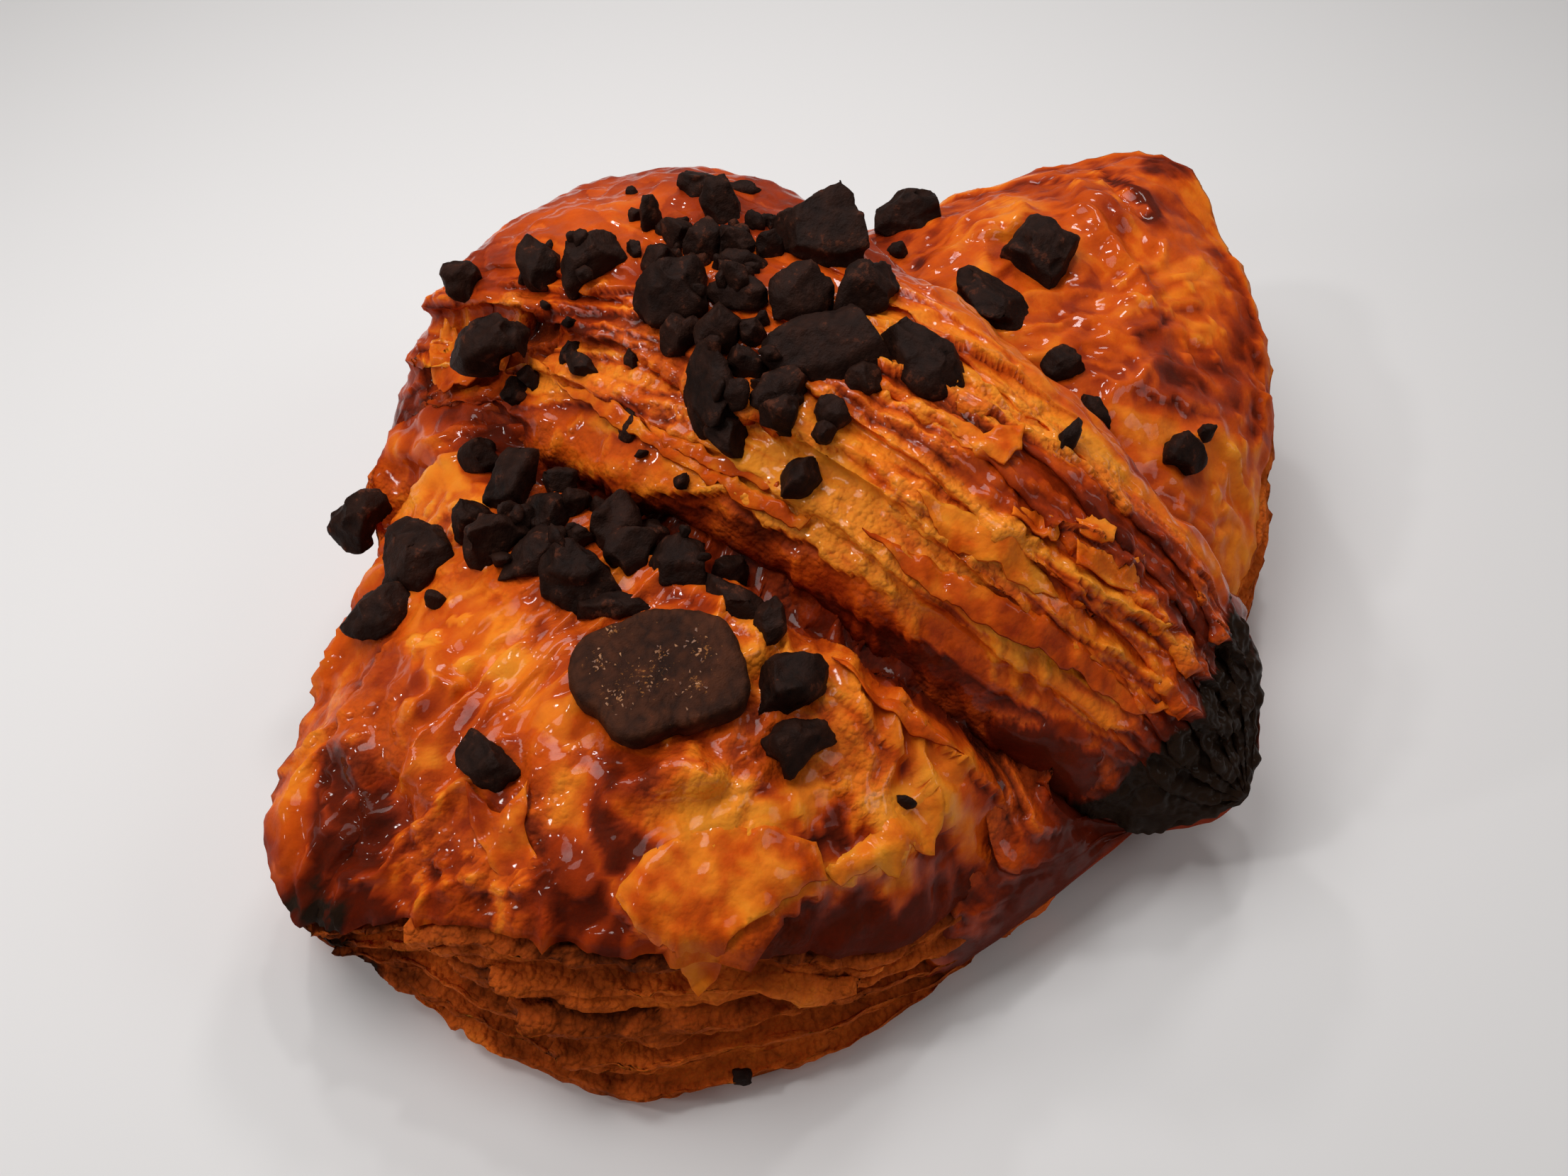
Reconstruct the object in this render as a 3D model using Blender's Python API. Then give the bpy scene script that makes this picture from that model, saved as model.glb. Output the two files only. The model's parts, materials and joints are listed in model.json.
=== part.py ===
"""A chocolate-topped croissant pastry, folded from one square of laminated dough.

Two opposite corners of the dough square stay flat and make the front and the rear lobe, along X.
The other two are folded over the middle, one upon the other: the lower flap comes from -Y, and
the upper flap comes from +Y and ends in a burnt tip that hangs over the -Y side. Chocolate pieces
lie on top. Sizes are in millimetres in this file and become metres where a mesh is made. X runs
from the front lobe to the rear lobe, +Z is up, and the origin is under the middle, on the table.
"""

import itertools
import math
import random

import bmesh
import bpy
import numpy as np
from mathutils import Matrix, Vector, bvhtree, noise

MM = 0.001
GAP = 0.3  # between pieces that touch
WELD = 0.01
ABOVE = 100.0  # over everything
FIRST_CHUNK_SEED = 100
# Name, colour and roughness.
BAKED = ("baked_dough", (0.55, 0.24, 0.07), 0.35)
CHOCOLATE = ("dark_chocolate", (0.05, 0.022, 0.014), 0.5)

# The dough's outline on the table, round the middle, counter-clockwise from the rear corner.
MIDDLE = (0.0, 4.0)
OUTLINE = (
    (72.0, 8.0), (60.5, 20.0), (41.0, 33.0), (15.0, 48.0), (-12.0, 50.5), (-33.0, 47.0),
    (-45.5, 33.5), (-60.5, 24.0), (-72.0, 8.5), (-68.0, -3.0), (-57.5, -27.5), (-38.0, -39.5),
    (-15.5, -41.5), (15.0, -41.0), (41.5, -35.5), (63.0, -14.0),
)
# The rim by the angle at which it is seen from the middle: the height of the skin's lip, how far
# the lip lies inside the outline, how deep the leaves are cut, and how far the foot is tucked in.
RIM = (
    (-180, 13.0, 0.5, 1.4, 5.0),
    (-171, 19.0, 3.0, 1.8, 1.5),
    (-160, 22.5, 5.0, 2.0, 0.5),
    (-141, 22.0, 5.5, 2.0, 0.5),
    (-131, 15.0, 3.5, 1.6, 0.5),
    (-118, 12.0, 2.0, 0.8, 1.0),
    (-100, 11.0, 2.0, 0.1, 2.0),
    (-80, 11.0, 2.0, 0.1, 2.0),
    (-60, 14.0, 3.0, 0.8, 1.0),
    (-38, 22.0, 3.0, 1.8, 0.5),
    (-13, 30.0, 1.5, 1.8, 1.5),
    (3, 34.0, 0.0, 1.4, 5.0),
    (18, 31.0, 2.5, 1.8, 1.5),
    (38, 26.0, 4.0, 1.8, 0.5),
    (58, 20.0, 3.0, 0.8, 1.0),
    (80, 19.0, 0.5, 0.1, 3.0),
    (104, 20.0, 0.5, 0.1, 3.0),
    (125, 21.5, 0.5, 0.6, 1.5),
    (145, 20.0, 3.0, 1.6, 0.5),
    (166, 17.0, 3.0, 1.8, 1.5),
    (180, 13.0, 0.5, 1.4, 5.0),
)
LEAVES = 5  # that show on the cut side, from the table up to the lip
LEAF_FACE = 0.14  # the share of a leaf's height over which its edge stands out
FOOT_ROUND = 2.0
FOLD_BULGE = 2.5
UNDERSIDE_RINGS = (0.0, 0.35, 0.7, 0.9, 1.0)

# The tops of the two lobes, and the hollow that the arch of the upper flap leaves at its fold.
FRONT_DOME, REAR_DOME = 35.5, 37.5
DIP, DIP_WIDTH = 3.0, 18.0  # between the two, under the flaps
HOLLOW = (-34.5, 40.0, 4.5, 7.0)  # x, y, radius, depth
# The skin's relief: the depth and the size of its billows, creases and blisters.
RELIEF = ((1.3, 11.0), (0.7, 5.0), (0.25, 2.2))

# The upper flap: at each Y its front edge, rear edge, the heights of its foot and of its crest.
UPPER_FLAP = (
    (-53.0, 2.0, 15.0, 10.0, 16.0),
    (-48.0, -1.5, 17.5, 9.5, 22.0),
    (-40.0, -6.5, 18.5, 14.5, 32.0),
    (-28.0, -12.0, 17.0, 22.5, 42.0),
    (-12.0, -16.5, 16.5, 31.0, 48.0),
    (4.0, -19.5, 17.5, 33.5, 49.5),
    (22.0, -23.0, 19.5, 32.0, 48.5),
    (38.0, -27.5, 20.5, 28.0, 46.0),
    (49.0, -30.0, 18.0, 18.0, 41.5),
    (56.0, -27.0, 15.0, 8.0, 37.5),
)
# Where its leaves end, from foot to crest. The first ones show all along, the rest by the tip.
UPPER_EDGES = (0.0, 0.09, 0.18, 0.28, 0.40, 0.52, 0.64, 0.75)
WHOLE_EDGES = 0.28
EDGES_FADE = (24.0, -10.0)
UPPER_STEP = 1.5
CREST_AT = 0.6  # how far across a flap its crest lies, from the front edge
OVERHANG = 4.5
END_ROUND = 7.0
FLAP_FLOOR = 1.0  # the flaps stay off the table

# The lower flap, in the same terms. Its fold is at -Y, and its far end is hidden.
LOWER_FLAP = (
    (-46.5, -14.0, 14.0, 8.0, 11.0),
    (-43.0, -25.0, 24.0, 5.0, 17.0),
    (-34.0, -24.5, 24.0, 10.0, 26.0),
    (-22.0, -24.0, 22.0, 20.0, 32.5),
    (0.0, -22.0, 20.0, 22.0, 35.0),
    (20.0, -10.0, 10.0, 24.0, 30.0),
)
LOWER_EDGES = (0.0, 0.12, 0.24, 0.36, 0.48)
LOWER_STEP = 1.0

# Points along and round each body, before the faces are thinned out.
DOUGH_GRID = (288, 26, 40)  # round the rim, up the cut side, over the top
FLAP_GRID = (150, 76, 20)  # along, over the top, under it
DOUGH_FACES, UPPER_FACES, LOWER_FACES = 3800, 3100, 800

# The chocolate, each piece as the X and Y of its middle, its length, width and height, and the turn
# of its length from +X in degrees. It lies on the crust below that place.
COIN = (-35.0, -10.0, 16.5, 14.5, 2.4, 125)
CHUNKS = (
    # On the upper flap, from its fold to its tip.
    (-19.5, 33.0, 8.5, 5.0, 4.0, 145), (-8.0, 30.5, 7.0, 4.5, 3.0, 160),
    (-7.0, 18.0, 6.5, 5.0, 4.0, 140), (9.5, 12.0, 10.0, 7.0, 5.0, 140),
    (-2.5, 12.0, 6.0, 3.5, 2.0, 115), (1.5, 7.0, 6.0, 5.0, 3.0, 145),
    (-11.5, 7.0, 10.0, 5.0, 2.5, 50), (6.5, 2.5, 5.5, 4.5, 3.5, 20),
    (-2.0, 0.5, 11.0, 7.0, 4.0, 150), (4.0, -8.0, 10.0, 5.0, 3.0, 85),
    # On the front lobe, along the flap and then out to the burnt corner.
    (-38.0, 40.5, 6.0, 6.0, 3.0, 75), (-28.5, 21.0, 7.5, 5.0, 4.0, 30),
    (-25.0, 17.0, 3.0, 3.0, 2.5, 75), (-35.0, 15.5, 5.5, 4.5, 3.5, 165),
    (-33.5, 11.0, 7.0, 3.5, 2.0, 170), (-32.5, 5.0, 6.5, 5.0, 4.0, 150),
    (-33.0, 1.0, 9.0, 3.0, 2.0, 120), (-25.0, -1.5, 5.5, 5.0, 3.5, 135),
    (-24.5, -8.5, 7.0, 4.0, 2.5, 75), (-27.0, -18.0, 7.0, 5.0, 3.5, 0),
    (-29.5, -22.5, 5.5, 3.5, 3.0, 175), (-40.5, 22.5, 7.5, 6.5, 3.5, 15),
    (-47.0, 20.5, 6.0, 5.0, 3.0, 175), (-51.0, -3.5, 6.0, 3.5, 3.0, 100),
    # On the rear lobe.
    (36.0, 21.5, 9.0, 5.0, 3.5, 0), (38.0, 3.0, 8.0, 7.0, 4.0, 10),
    (27.5, 1.5, 8.0, 6.5, 3.0, 85),
)
# Nibs of chocolate, baked on.
NIBS = (
    (-14.5, 49.5, 2.0, 1.5, 1.5, 25), (-16.5, 43.5, 4.0, 3.5, 3.0, 125),
    (-11.0, 36.0, 6.0, 4.5, 2.5, 55), (9.5, 32.0, 4.5, 3.5, 2.0, 145),
    (-20.5, 30.5, 3.5, 2.5, 1.5, 35), (1.0, 30.5, 3.0, 2.0, 3.0, 20),
    (-19.0, 29.0, 2.5, 1.5, 2.0, 30), (13.5, 28.5, 4.5, 1.5, 1.0, 135),
    (-14.5, 27.0, 1.5, 1.0, 1.0, 125), (-15.5, 26.0, 3.0, 2.0, 1.5, 0),
    (7.5, 25.5, 4.5, 4.0, 3.5, 40), (0.5, 25.5, 4.0, 3.0, 2.0, 115),
    (-4.0, 24.5, 4.0, 3.5, 2.0, 10), (-16.5, 22.5, 4.0, 2.0, 1.5, 85),
    (1.0, 21.0, 5.0, 4.0, 3.0, 160), (8.0, 20.0, 3.5, 1.0, 1.0, 130),
    (2.5, 18.5, 4.0, 3.5, 3.0, 125), (-13.5, 17.5, 2.0, 1.5, 1.0, 25),
    (1.0, 15.5, 6.0, 2.5, 1.5, 120), (4.5, 15.0, 3.5, 2.5, 2.0, 120),
    (-9.5, 14.5, 3.5, 3.5, 3.0, 60), (-17.5, 13.5, 3.0, 3.0, 1.5, 30),
    (-7.0, 10.5, 5.0, 4.0, 3.0, 0), (-3.5, 8.0, 1.5, 1.5, 1.5, 140),
    (-5.5, 7.5, 3.0, 2.5, 2.0, 140), (-8.5, 5.0, 4.0, 3.0, 2.5, 140),
    (-13.5, 2.5, 5.0, 3.5, 2.5, 75), (-9.0, -0.5, 5.5, 4.0, 2.5, 155),
    (-11.0, -2.5, 4.0, 3.5, 2.5, 140), (-7.0, -5.0, 3.5, 3.0, 2.5, 125),
    (-2.5, -5.5, 3.5, 3.0, 2.5, 110), (-9.5, -6.5, 2.5, 2.0, 2.0, 75),
    (-12.5, -6.5, 4.5, 3.0, 2.5, 5), (8.0, -23.0, 3.0, 2.0, 2.0, 10),
    (-27.5, 29.0, 4.5, 3.0, 2.5, 115), (-34.5, 20.5, 4.5, 4.0, 2.5, 155),
    (-43.0, 16.0, 2.0, 1.5, 1.5, 160), (-29.5, 14.0, 6.0, 4.5, 2.0, 140),
    (-31.0, 14.0, 2.5, 2.0, 1.5, 65), (-29.0, 9.0, 3.0, 2.0, 1.5, 125),
    (-25.5, 8.5, 7.5, 4.5, 2.5, 50), (-22.5, 6.0, 2.5, 2.5, 2.0, 135),
    (-27.5, 3.0, 4.5, 4.0, 3.0, 100), (-21.0, 2.0, 3.0, 1.5, 1.5, 135),
    (-20.0, -3.5, 4.0, 3.0, 2.5, 135), (-24.0, -13.0, 5.0, 2.5, 2.5, 35),
    (-24.0, -32.0, 1.5, 1.5, 1.0, 30), (-48.5, -34.0, 2.0, 1.5, 1.0, 150),
    (29.0, 17.5, 2.5, 2.0, 1.5, 105), (26.0, -10.5, 5.0, 4.0, 2.5, 10),
    (23.0, -17.0, 4.5, 2.5, 2.0, 85), (29.5, -26.0, 6.0, 4.0, 2.5, 170),
    (33.5, -26.0, 2.0, 1.5, 1.5, 40),
)
# What each kind of piece is like: its corners, how square it is, how uneven, how much crust it
# lies on, and its sections from below to its top, as shares of its reach and of its height.
COIN_KIND = (20, 2.0, 0.03, 9.0, ((0.97, -0.1), (1.0, 0.3), (0.99, 0.85), (0.94, 1.0)))
CHUNK_KIND = (10, 3.5, 0.13, 4.5, ((0.95, -0.35), (1.0, 0.5), (0.7, 1.0)))
NIB_KIND = (6, 3.0, 0.13, 3.0, ((0.85, -0.4), (1.0, 0.45), (0.62, 1.0)))


def smooth_rows(rows, at):
    """The other columns of rows at each value of the first one, on a smooth curve through them."""
    rows = np.asarray(rows, float)
    knots, values = rows[:, 0], rows[:, 1:]
    slopes = np.gradient(values, knots, axis=0)
    at = np.clip(np.asarray(at, float), knots[0], knots[-1])
    left = np.clip(np.searchsorted(knots, at, side="right") - 1, 0, len(knots) - 2)
    width = (knots[left + 1] - knots[left])[:, None]
    t = (at - knots[left])[:, None] / width
    return (
        (2 * t**3 - 3 * t**2 + 1) * values[left]
        + (t**3 - 2 * t**2 + t) * width * slopes[left]
        + (3 * t**2 - 2 * t**3) * values[left + 1]
        + (t**3 - t**2) * width * slopes[left + 1]
    )


def smooth_step(low, high, at):
    x = np.clip((np.asarray(at, float) - low) / (high - low), 0, 1)
    return x * x * (3 - 2 * x)


def outline_radius(angle):
    """How far the dough reaches from its middle, at each angle."""
    points = np.asarray(OUTLINE) - MIDDLE
    angles = np.arctan2(points[:, 1], points[:, 0])
    radii = np.hypot(points[:, 0], points[:, 1])
    order = np.argsort(angles)
    turn = 2 * math.pi
    rows = [(angles[i] + k * turn, radii[i]) for k in (-1, 0, 1) for i in order]
    return smooth_rows(rows, angle)[:, 0]


def wave(points, size, seed):
    """Smooth noise from -1 to 1, with bumps of the given size."""
    shift = Vector((seed * 17.3, seed * 5.1, seed * 9.7))
    return np.array([noise.noise(Vector(p) / size + shift) for p in points])


def relief(points):
    """How far the baked skin rises over its plain form at each point."""
    (billow, billow_size), (crease, crease_size), (blister, blister_size) = RELIEF
    height = billow * wave(points, billow_size, 1)
    height += crease * (0.35 - np.abs(wave(points, crease_size, 2)))
    height += blister * wave(points, blister_size, 3)
    return height * smooth_step(0, 2 * FOOT_ROUND, points[:, 2])


def raised(points, core):
    outward = points - core
    outward /= np.maximum(np.linalg.norm(outward, axis=1, keepdims=True), 1e-6)
    return points + outward * relief(points)[:, None]


def ledge(part):
    """The profile of one leaf's edge, from 0 to 1: it stands out at once and then falls away."""
    return np.minimum(part / LEAF_FACE, (1 - part) / (1 - LEAF_FACE))


def dough_points(angle, kind, share):
    """Points of the dough body. kind is 0 on the underside, 1 on the cut side, 2 on the top.

    share runs from the middle to the rim, from the table to the lip, and from the lip to the
    middle.
    """
    radius = outline_radius(angle)
    lip, inset, cut, tuck = smooth_rows(RIM, np.degrees(angle)).T
    direction = np.stack([np.cos(angle), np.sin(angle), 0 * angle], axis=1)
    fold = np.clip(1.2 - cut, 0, 1)

    # The leaves wander up and down, and each stands out over the groove above it.
    wander = 0.3 * wave(direction * 22 + (0, 0, 1) * share[:, None] * 3, 6.0, 4)
    level = share * LEAVES + wander * np.sin(share * math.pi)
    leaf = ledge(1 - (level - np.floor(level)))
    fine = wave(np.stack([angle * 12, share * 30, 0 * angle], axis=1), 1.0, 5)
    stand_out = cut * (leaf - 0.5 + 0.3 * fine) * smooth_step(0, 0.06, share)
    round_foot = FOOT_ROUND * (1 - smooth_step(0, 0.12, share)) * 0.5
    side = radius - inset * share**1.5 + stand_out - round_foot
    side = side - tuck * (1 - share) ** 2 + FOLD_BULGE * fold * np.sin(share * math.pi)

    over = (radius - inset) * (1 - share)
    x = direction[:, 0] * over
    dome = FRONT_DOME + (REAR_DOME - FRONT_DOME) * smooth_step(-15, 15, x)
    dome = dome - DIP * np.exp(-((x / DIP_WIDTH) ** 2))
    rise = (1 - (1 - share) ** 3) ** 0.75
    below = (radius - tuck - FOOT_ROUND / 2) * share

    out = np.choose(kind, [below, side, over])
    height = np.choose(kind, [0 * share, lip * share, lip + (dome - lip) * rise])
    points = direction * out[:, None] + (*MIDDLE, 0.0)
    apart = np.hypot(points[:, 0] - HOLLOW[0], points[:, 1] - HOLLOW[1])
    height = height - HOLLOW[3] * np.exp(-((apart / HOLLOW[2]) ** 2)) * (kind == 2)
    points[:, 2] = height
    return raised(points, points * (0.75, 0.75, 0.0) + (0.0, 0.0, 12.0))


def flap_points(stations, edges, depth, along, turn):
    """Points of a flap, which is a row of closed sections across Y.

    turn runs once round the section: 0 to 1 up the front and over the top to the rear edge, and
    1 to 2 back along the hidden underside.
    """
    front, rear, foot, crest = smooth_rows(stations, along).T
    width, rise = rear - front, crest - foot
    top = np.clip(turn, 0, 1)
    across = 1 - (1 - top) ** 1.25
    arch = np.clip(1 - np.abs(1 - across / CREST_AT) ** 2.1, 0, 1) ** 0.62
    fall = np.clip((across - CREST_AT) / (1 - CREST_AT), 0, 1)
    x_top = front + width * across
    z_top = foot + rise * np.where(across < CREST_AT, arch, 1 - 0.12 * fall**2 - 0.2 * fall**7)

    under = np.clip(turn - 1, 0, 1)
    inner = np.clip((1 - under) * width / OVERHANG, 0, 1)
    sink = np.sin(under * math.pi) ** 0.5 * inner * (6.0 + rise * 0.6 * (1 - under))
    x = np.where(turn > 1, rear - width * under, x_top)
    z = np.where(turn > 1, foot + rise * 0.68 * (1 - under) - sink, z_top)
    end = np.minimum(along - stations[0][0], stations[-1][0] - along) / END_ROUND
    full = np.sqrt(1 - (1 - np.clip(end, 0.0, 1)) ** 2)
    x = (front + rear) / 2 + (x - (front + rear) / 2) * full
    z = foot + rise / 2 + (z - foot - rise / 2) * full
    points = np.stack([x, along, np.maximum(z, FLAP_FLOOR)], axis=1)
    points = raised(points, np.stack([(front + rear) / 2, along, foot], axis=1))

    # The leaves' edges wander along the front, and higher up they show only by the tip.
    drift = wave(np.stack([0 * along, along, top * 20], axis=1), 14.0, 6)
    drawn = np.clip(top + 0.035 * drift * smooth_step(0.0, 0.1, top), 0, 1)
    marks = np.asarray(edges)
    left = np.clip(np.searchsorted(marks, drawn, side="right") - 1, 0, len(marks) - 2)
    part = np.clip((drawn - marks[left]) / (marks[left + 1] - marks[left]), 0, 1)
    shown = smooth_step(marks[-1] + 0.04, marks[-1] - 0.04, top) * smooth_step(0.0, 0.04, top)
    shown = shown * np.clip(rise / 12, 0.2, 1) * (turn <= 1)
    shown = shown * np.where(drawn > WHOLE_EDGES, smooth_step(*EDGES_FADE, along), 1.0)
    push = depth * (ledge(part) - 0.5) * shown
    return points + push[:, None] * (-0.8, 0.0, 0.6)


def shaped_ball(name, segments, rings, shape):
    """A UV sphere whose points are moved: shape takes each point's segment and ring numbers."""
    bm = bmesh.new()
    bmesh.ops.create_uvsphere(bm, u_segments=segments, v_segments=rings, radius=1)
    points = np.array([v.co for v in bm.verts])
    ring = np.round(np.arccos(np.clip(-points[:, 2], -1, 1)) / math.pi * rings).astype(int)
    turn = np.arctan2(points[:, 1], points[:, 0]) / (2 * math.pi)
    segment = np.round(turn * segments).astype(int)
    for vert, place in zip(bm.verts, shape(segment, ring), strict=True):
        vert.co = Vector(place) * MM
    bmesh.ops.triangulate(bm, faces=bm.faces, quad_method="SHORT_EDGE")
    bmesh.ops.recalc_face_normals(bm, faces=bm.faces)
    mesh = bpy.data.meshes.new(name)
    bm.to_mesh(mesh)
    bm.free()
    return mesh


def dough_body():
    segments, up, over = DOUGH_GRID
    rings = [(0, share) for share in UNDERSIDE_RINGS]
    rings += [(1, (step + 1) / up) for step in range(up)]
    rings += [(2, (step + 1) / over) for step in range(over)]
    kinds, shares = np.array(rings).T

    def shape(segment, ring):
        angle = segment * 2 * math.pi / segments
        return dough_points(angle, kinds[ring].astype(int), shares[ring])

    return shaped_ball("dough", segments, len(rings) - 1, shape)


def flap(name, stations, edges, depth):
    """One flap, with its rings closest where it bends down at its two ends."""
    rings, top, under = FLAP_GRID
    section = np.append(np.linspace(0, 1, top + 1), 1 + np.arange(1, under) / under)
    share = np.arange(rings + 1) / rings
    share = share - 0.12 * np.sin(2 * math.pi * share)
    low, high = stations[0][0], stations[-1][0]
    along = low + (high - low) * share

    def shape(segment, ring):
        return flap_points(stations, edges, depth, along[ring], section[segment % len(section)])

    return shaped_ball(name, len(section), rings, shape)


def lump(row, kind, seed):
    """A rough piece of chocolate as a closed mesh: rings of points stacked on its base."""
    length, width, height, turn = row[2:]
    corners, square, uneven, _, sections = kind
    rng = random.Random(seed)
    lean = (rng.uniform(-uneven, uneven), rng.uniform(-uneven, uneven))
    directions = []
    for corner in range(corners):
        angle = corner * 2 * math.pi / corners
        along, across = math.cos(angle) * 2 / length, math.sin(angle) * 2 / width
        reach = (abs(along) ** square + abs(across) ** square) ** (-1 / square)
        reach *= 1 + rng.uniform(-uneven, uneven) * 0.8
        angle += math.radians(turn)
        directions.append((math.cos(angle) * reach, math.sin(angle) * reach))

    bm = bmesh.new()
    rings = []
    for share, level in sections:
        ring = []
        for x, y in directions:
            out = share * (1 + rng.uniform(-uneven, uneven) * 0.6)
            rise = height * level * (1 + rng.uniform(-uneven, uneven))
            rise += max(level, 0) * (lean[0] * x + lean[1] * y)
            ring.append(bm.verts.new((x * out, y * out, rise)))
        rings.append(ring)
    for lower, upper in itertools.pairwise(rings):
        for i in range(corners):
            j = (i + 1) % corners
            bm.faces.new((lower[i], lower[j], upper[j], upper[i]))
    for ring, level in ((rings[0][::-1], sections[0][1]), (rings[-1], sections[-1][1])):
        middle = bm.verts.new((0, 0, height * level))
        for i in range(corners):
            bm.faces.new((ring[i], ring[(i + 1) % corners], middle))
    bmesh.ops.triangulate(bm, faces=bm.faces)
    bmesh.ops.recalc_face_normals(bm, faces=bm.faces)
    return bm


def resting_place(crust, x, y, footing):
    """The frame of a piece that lies on the crust at X and Y: its +Z points out of the crust."""
    point = crust.ray_cast(Vector((x, y, ABOVE)) * MM, Vector((0, 0, -1)))[0]
    outward = Vector()
    for _, normal, _, apart in crust.find_nearest_range(point, footing * MM):
        outward += normal * (1 - apart / (footing * MM))
    outward.normalize()
    across = (Vector((1, 0, 0)) - outward * outward.x).normalized()
    turn = Matrix((across, outward.cross(across), outward)).transposed()
    return Matrix.Translation(point) @ turn.to_4x4() @ Matrix.Scale(MM, 4)


def laid(name, row, kind, crust, seed):
    """A piece of chocolate where it lies on the crust."""
    bm = lump(row, kind, seed)
    bm.transform(resting_place(crust, row[0], row[1], kind[3]))
    mesh = bpy.data.meshes.new(name)
    bm.to_mesh(mesh)
    bm.free()
    return mesh


def grown(mesh, by):
    """A copy whose surface lies the given distance outside the mesh."""
    bm = bmesh.new()
    bm.from_mesh(mesh)
    bm.normal_update()
    moves = [v.normal * by * v.calc_shell_factor() for v in bm.verts]
    for vert, move in zip(bm.verts, moves, strict=True):
        vert.co += move if move.length < 2 * by else move.normalized() * 2 * by
    copy = bpy.data.meshes.new(mesh.name + "_grown")
    bm.to_mesh(copy)
    bm.free()
    return copy


def joined(mesh, others, operation):
    """The mesh after one Boolean with all the others, as its largest closed body alone."""
    shelf = bpy.data.collections.new("operands")
    target = bpy.data.objects.new("target", mesh)
    bpy.context.scene.collection.objects.link(target)
    bpy.context.scene.collection.children.link(shelf)
    for other in others:
        shelf.objects.link(bpy.data.objects.new("operand", other))
    modifier = target.modifiers.new("join", "BOOLEAN")
    modifier.operation = operation
    modifier.operand_type = "COLLECTION"
    modifier.collection = shelf
    modifier.solver = "MANIFOLD"
    graph = bpy.context.evaluated_depsgraph_get()
    made = bpy.data.meshes.new_from_object(target.evaluated_get(graph))
    for old in (target, *shelf.objects):
        bpy.data.objects.remove(old, do_unlink=True)
    bpy.data.collections.remove(shelf)
    keep_largest(made)
    return made


def thinned(mesh, faces):
    """The mesh with fewer faces, which are kept where the surface bends most."""
    target = bpy.data.objects.new("target", mesh)
    bpy.context.scene.collection.objects.link(target)
    modifier = target.modifiers.new("thin", "DECIMATE")
    modifier.ratio = faces / len(mesh.polygons)
    graph = bpy.context.evaluated_depsgraph_get()
    made = bpy.data.meshes.new_from_object(target.evaluated_get(graph))
    bpy.data.objects.remove(target, do_unlink=True)
    keep_largest(made)
    return made


def keep_largest(mesh):
    """Weld the mesh where that leaves it whole, and drop loose scraps and sealed hollows."""
    for weld in (WELD * MM, 0.0):
        bm = bmesh.new()
        bm.from_mesh(mesh)
        if weld:
            bmesh.ops.remove_doubles(bm, verts=bm.verts, dist=weld)
            bmesh.ops.dissolve_degenerate(bm, edges=bm.edges, dist=weld)
        bmesh.ops.triangulate(bm, faces=bm.faces)
        if all(edge.is_manifold for edge in bm.edges):
            break
    left, bodies = set(bm.verts), []
    while left:
        body, queue = set(), [left.pop()]
        while queue:
            vert = queue.pop()
            body.add(vert)
            for edge in vert.link_edges:
                other = edge.other_vert(vert)
                if other in left:
                    left.remove(other)
                    queue.append(other)
        bodies.append(body)
    bodies.sort(key=len)
    bmesh.ops.delete(bm, geom=[v for body in bodies[:-1] for v in body], context="VERTS")
    bm.to_mesh(mesh)
    bm.free()


def close(mesh, other):
    """Whether the boxes round two meshes come within a gap of each other."""
    a, b = (np.array([v.co for v in m.vertices]) for m in (mesh, other))
    apart = np.maximum(a.min(axis=0) - b.max(axis=0), b.min(axis=0) - a.max(axis=0))
    return apart.max() < 2 * GAP * MM


def surface(mesh):
    return bvhtree.BVHTree.FromPolygons(
        [v.co for v in mesh.vertices], [tuple(p.vertices) for p in mesh.polygons]
    )


def new_material(name, colour, roughness):
    material = bpy.data.materials.new(name)
    material.use_nodes = True
    shader = material.node_tree.nodes["Principled BSDF"]
    shader.inputs["Base Color"].default_value = (*colour, 1)
    shader.inputs["Roughness"].default_value = roughness
    return material


def main():
    for old in list(bpy.data.objects):
        bpy.data.objects.remove(old, do_unlink=True)
    croissant = bpy.data.collections.new("croissant")
    bpy.context.scene.collection.children.link(croissant)

    dough = thinned(dough_body(), DOUGH_FACES)
    upper = thinned(flap("upper_flap", UPPER_FLAP, UPPER_EDGES, UPPER_STEP), UPPER_FACES)
    lower = thinned(flap("lower_flap", LOWER_FLAP, LOWER_EDGES, LOWER_STEP), LOWER_FACES)
    folded = joined(dough, [upper, lower], "UNION")
    crust = surface(folded)

    nibs = [laid("nib", row, NIB_KIND, crust, seed) for seed, row in enumerate(NIBS)]
    pastry = joined(folded, nibs, "UNION")

    toppings = []
    pieces = [("coin", COIN, COIN_KIND)]
    pieces += [(f"chunk_{number:02d}", row, CHUNK_KIND) for number, row in enumerate(CHUNKS, 1)]
    solid = grown(pastry, GAP * MM)
    for seed, (name, row, kind) in enumerate(pieces, FIRST_CHUNK_SEED):
        mesh = laid(name, row, kind, crust, seed)
        around = [grown(other, GAP * MM) for _, other in toppings if close(mesh, other)]
        toppings.append((name, joined(mesh, [solid, *around], "DIFFERENCE")))

    meshes = [("pastry", pastry), *toppings]
    points = np.array([v.co for _, mesh in meshes for v in mesh.vertices])
    low, high = points.min(axis=0), points.max(axis=0)
    shift = Matrix.Translation((-(low[0] + high[0]) / 2, -(low[1] + high[1]) / 2, -low[2]))
    baked, chocolate = new_material(*BAKED), new_material(*CHOCOLATE)
    for name, mesh in meshes:
        mesh.transform(shift)
        mesh.materials.clear()
        mesh.materials.append(baked if mesh is pastry else chocolate)
        croissant.objects.link(bpy.data.objects.new(name, mesh))


main()
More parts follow.
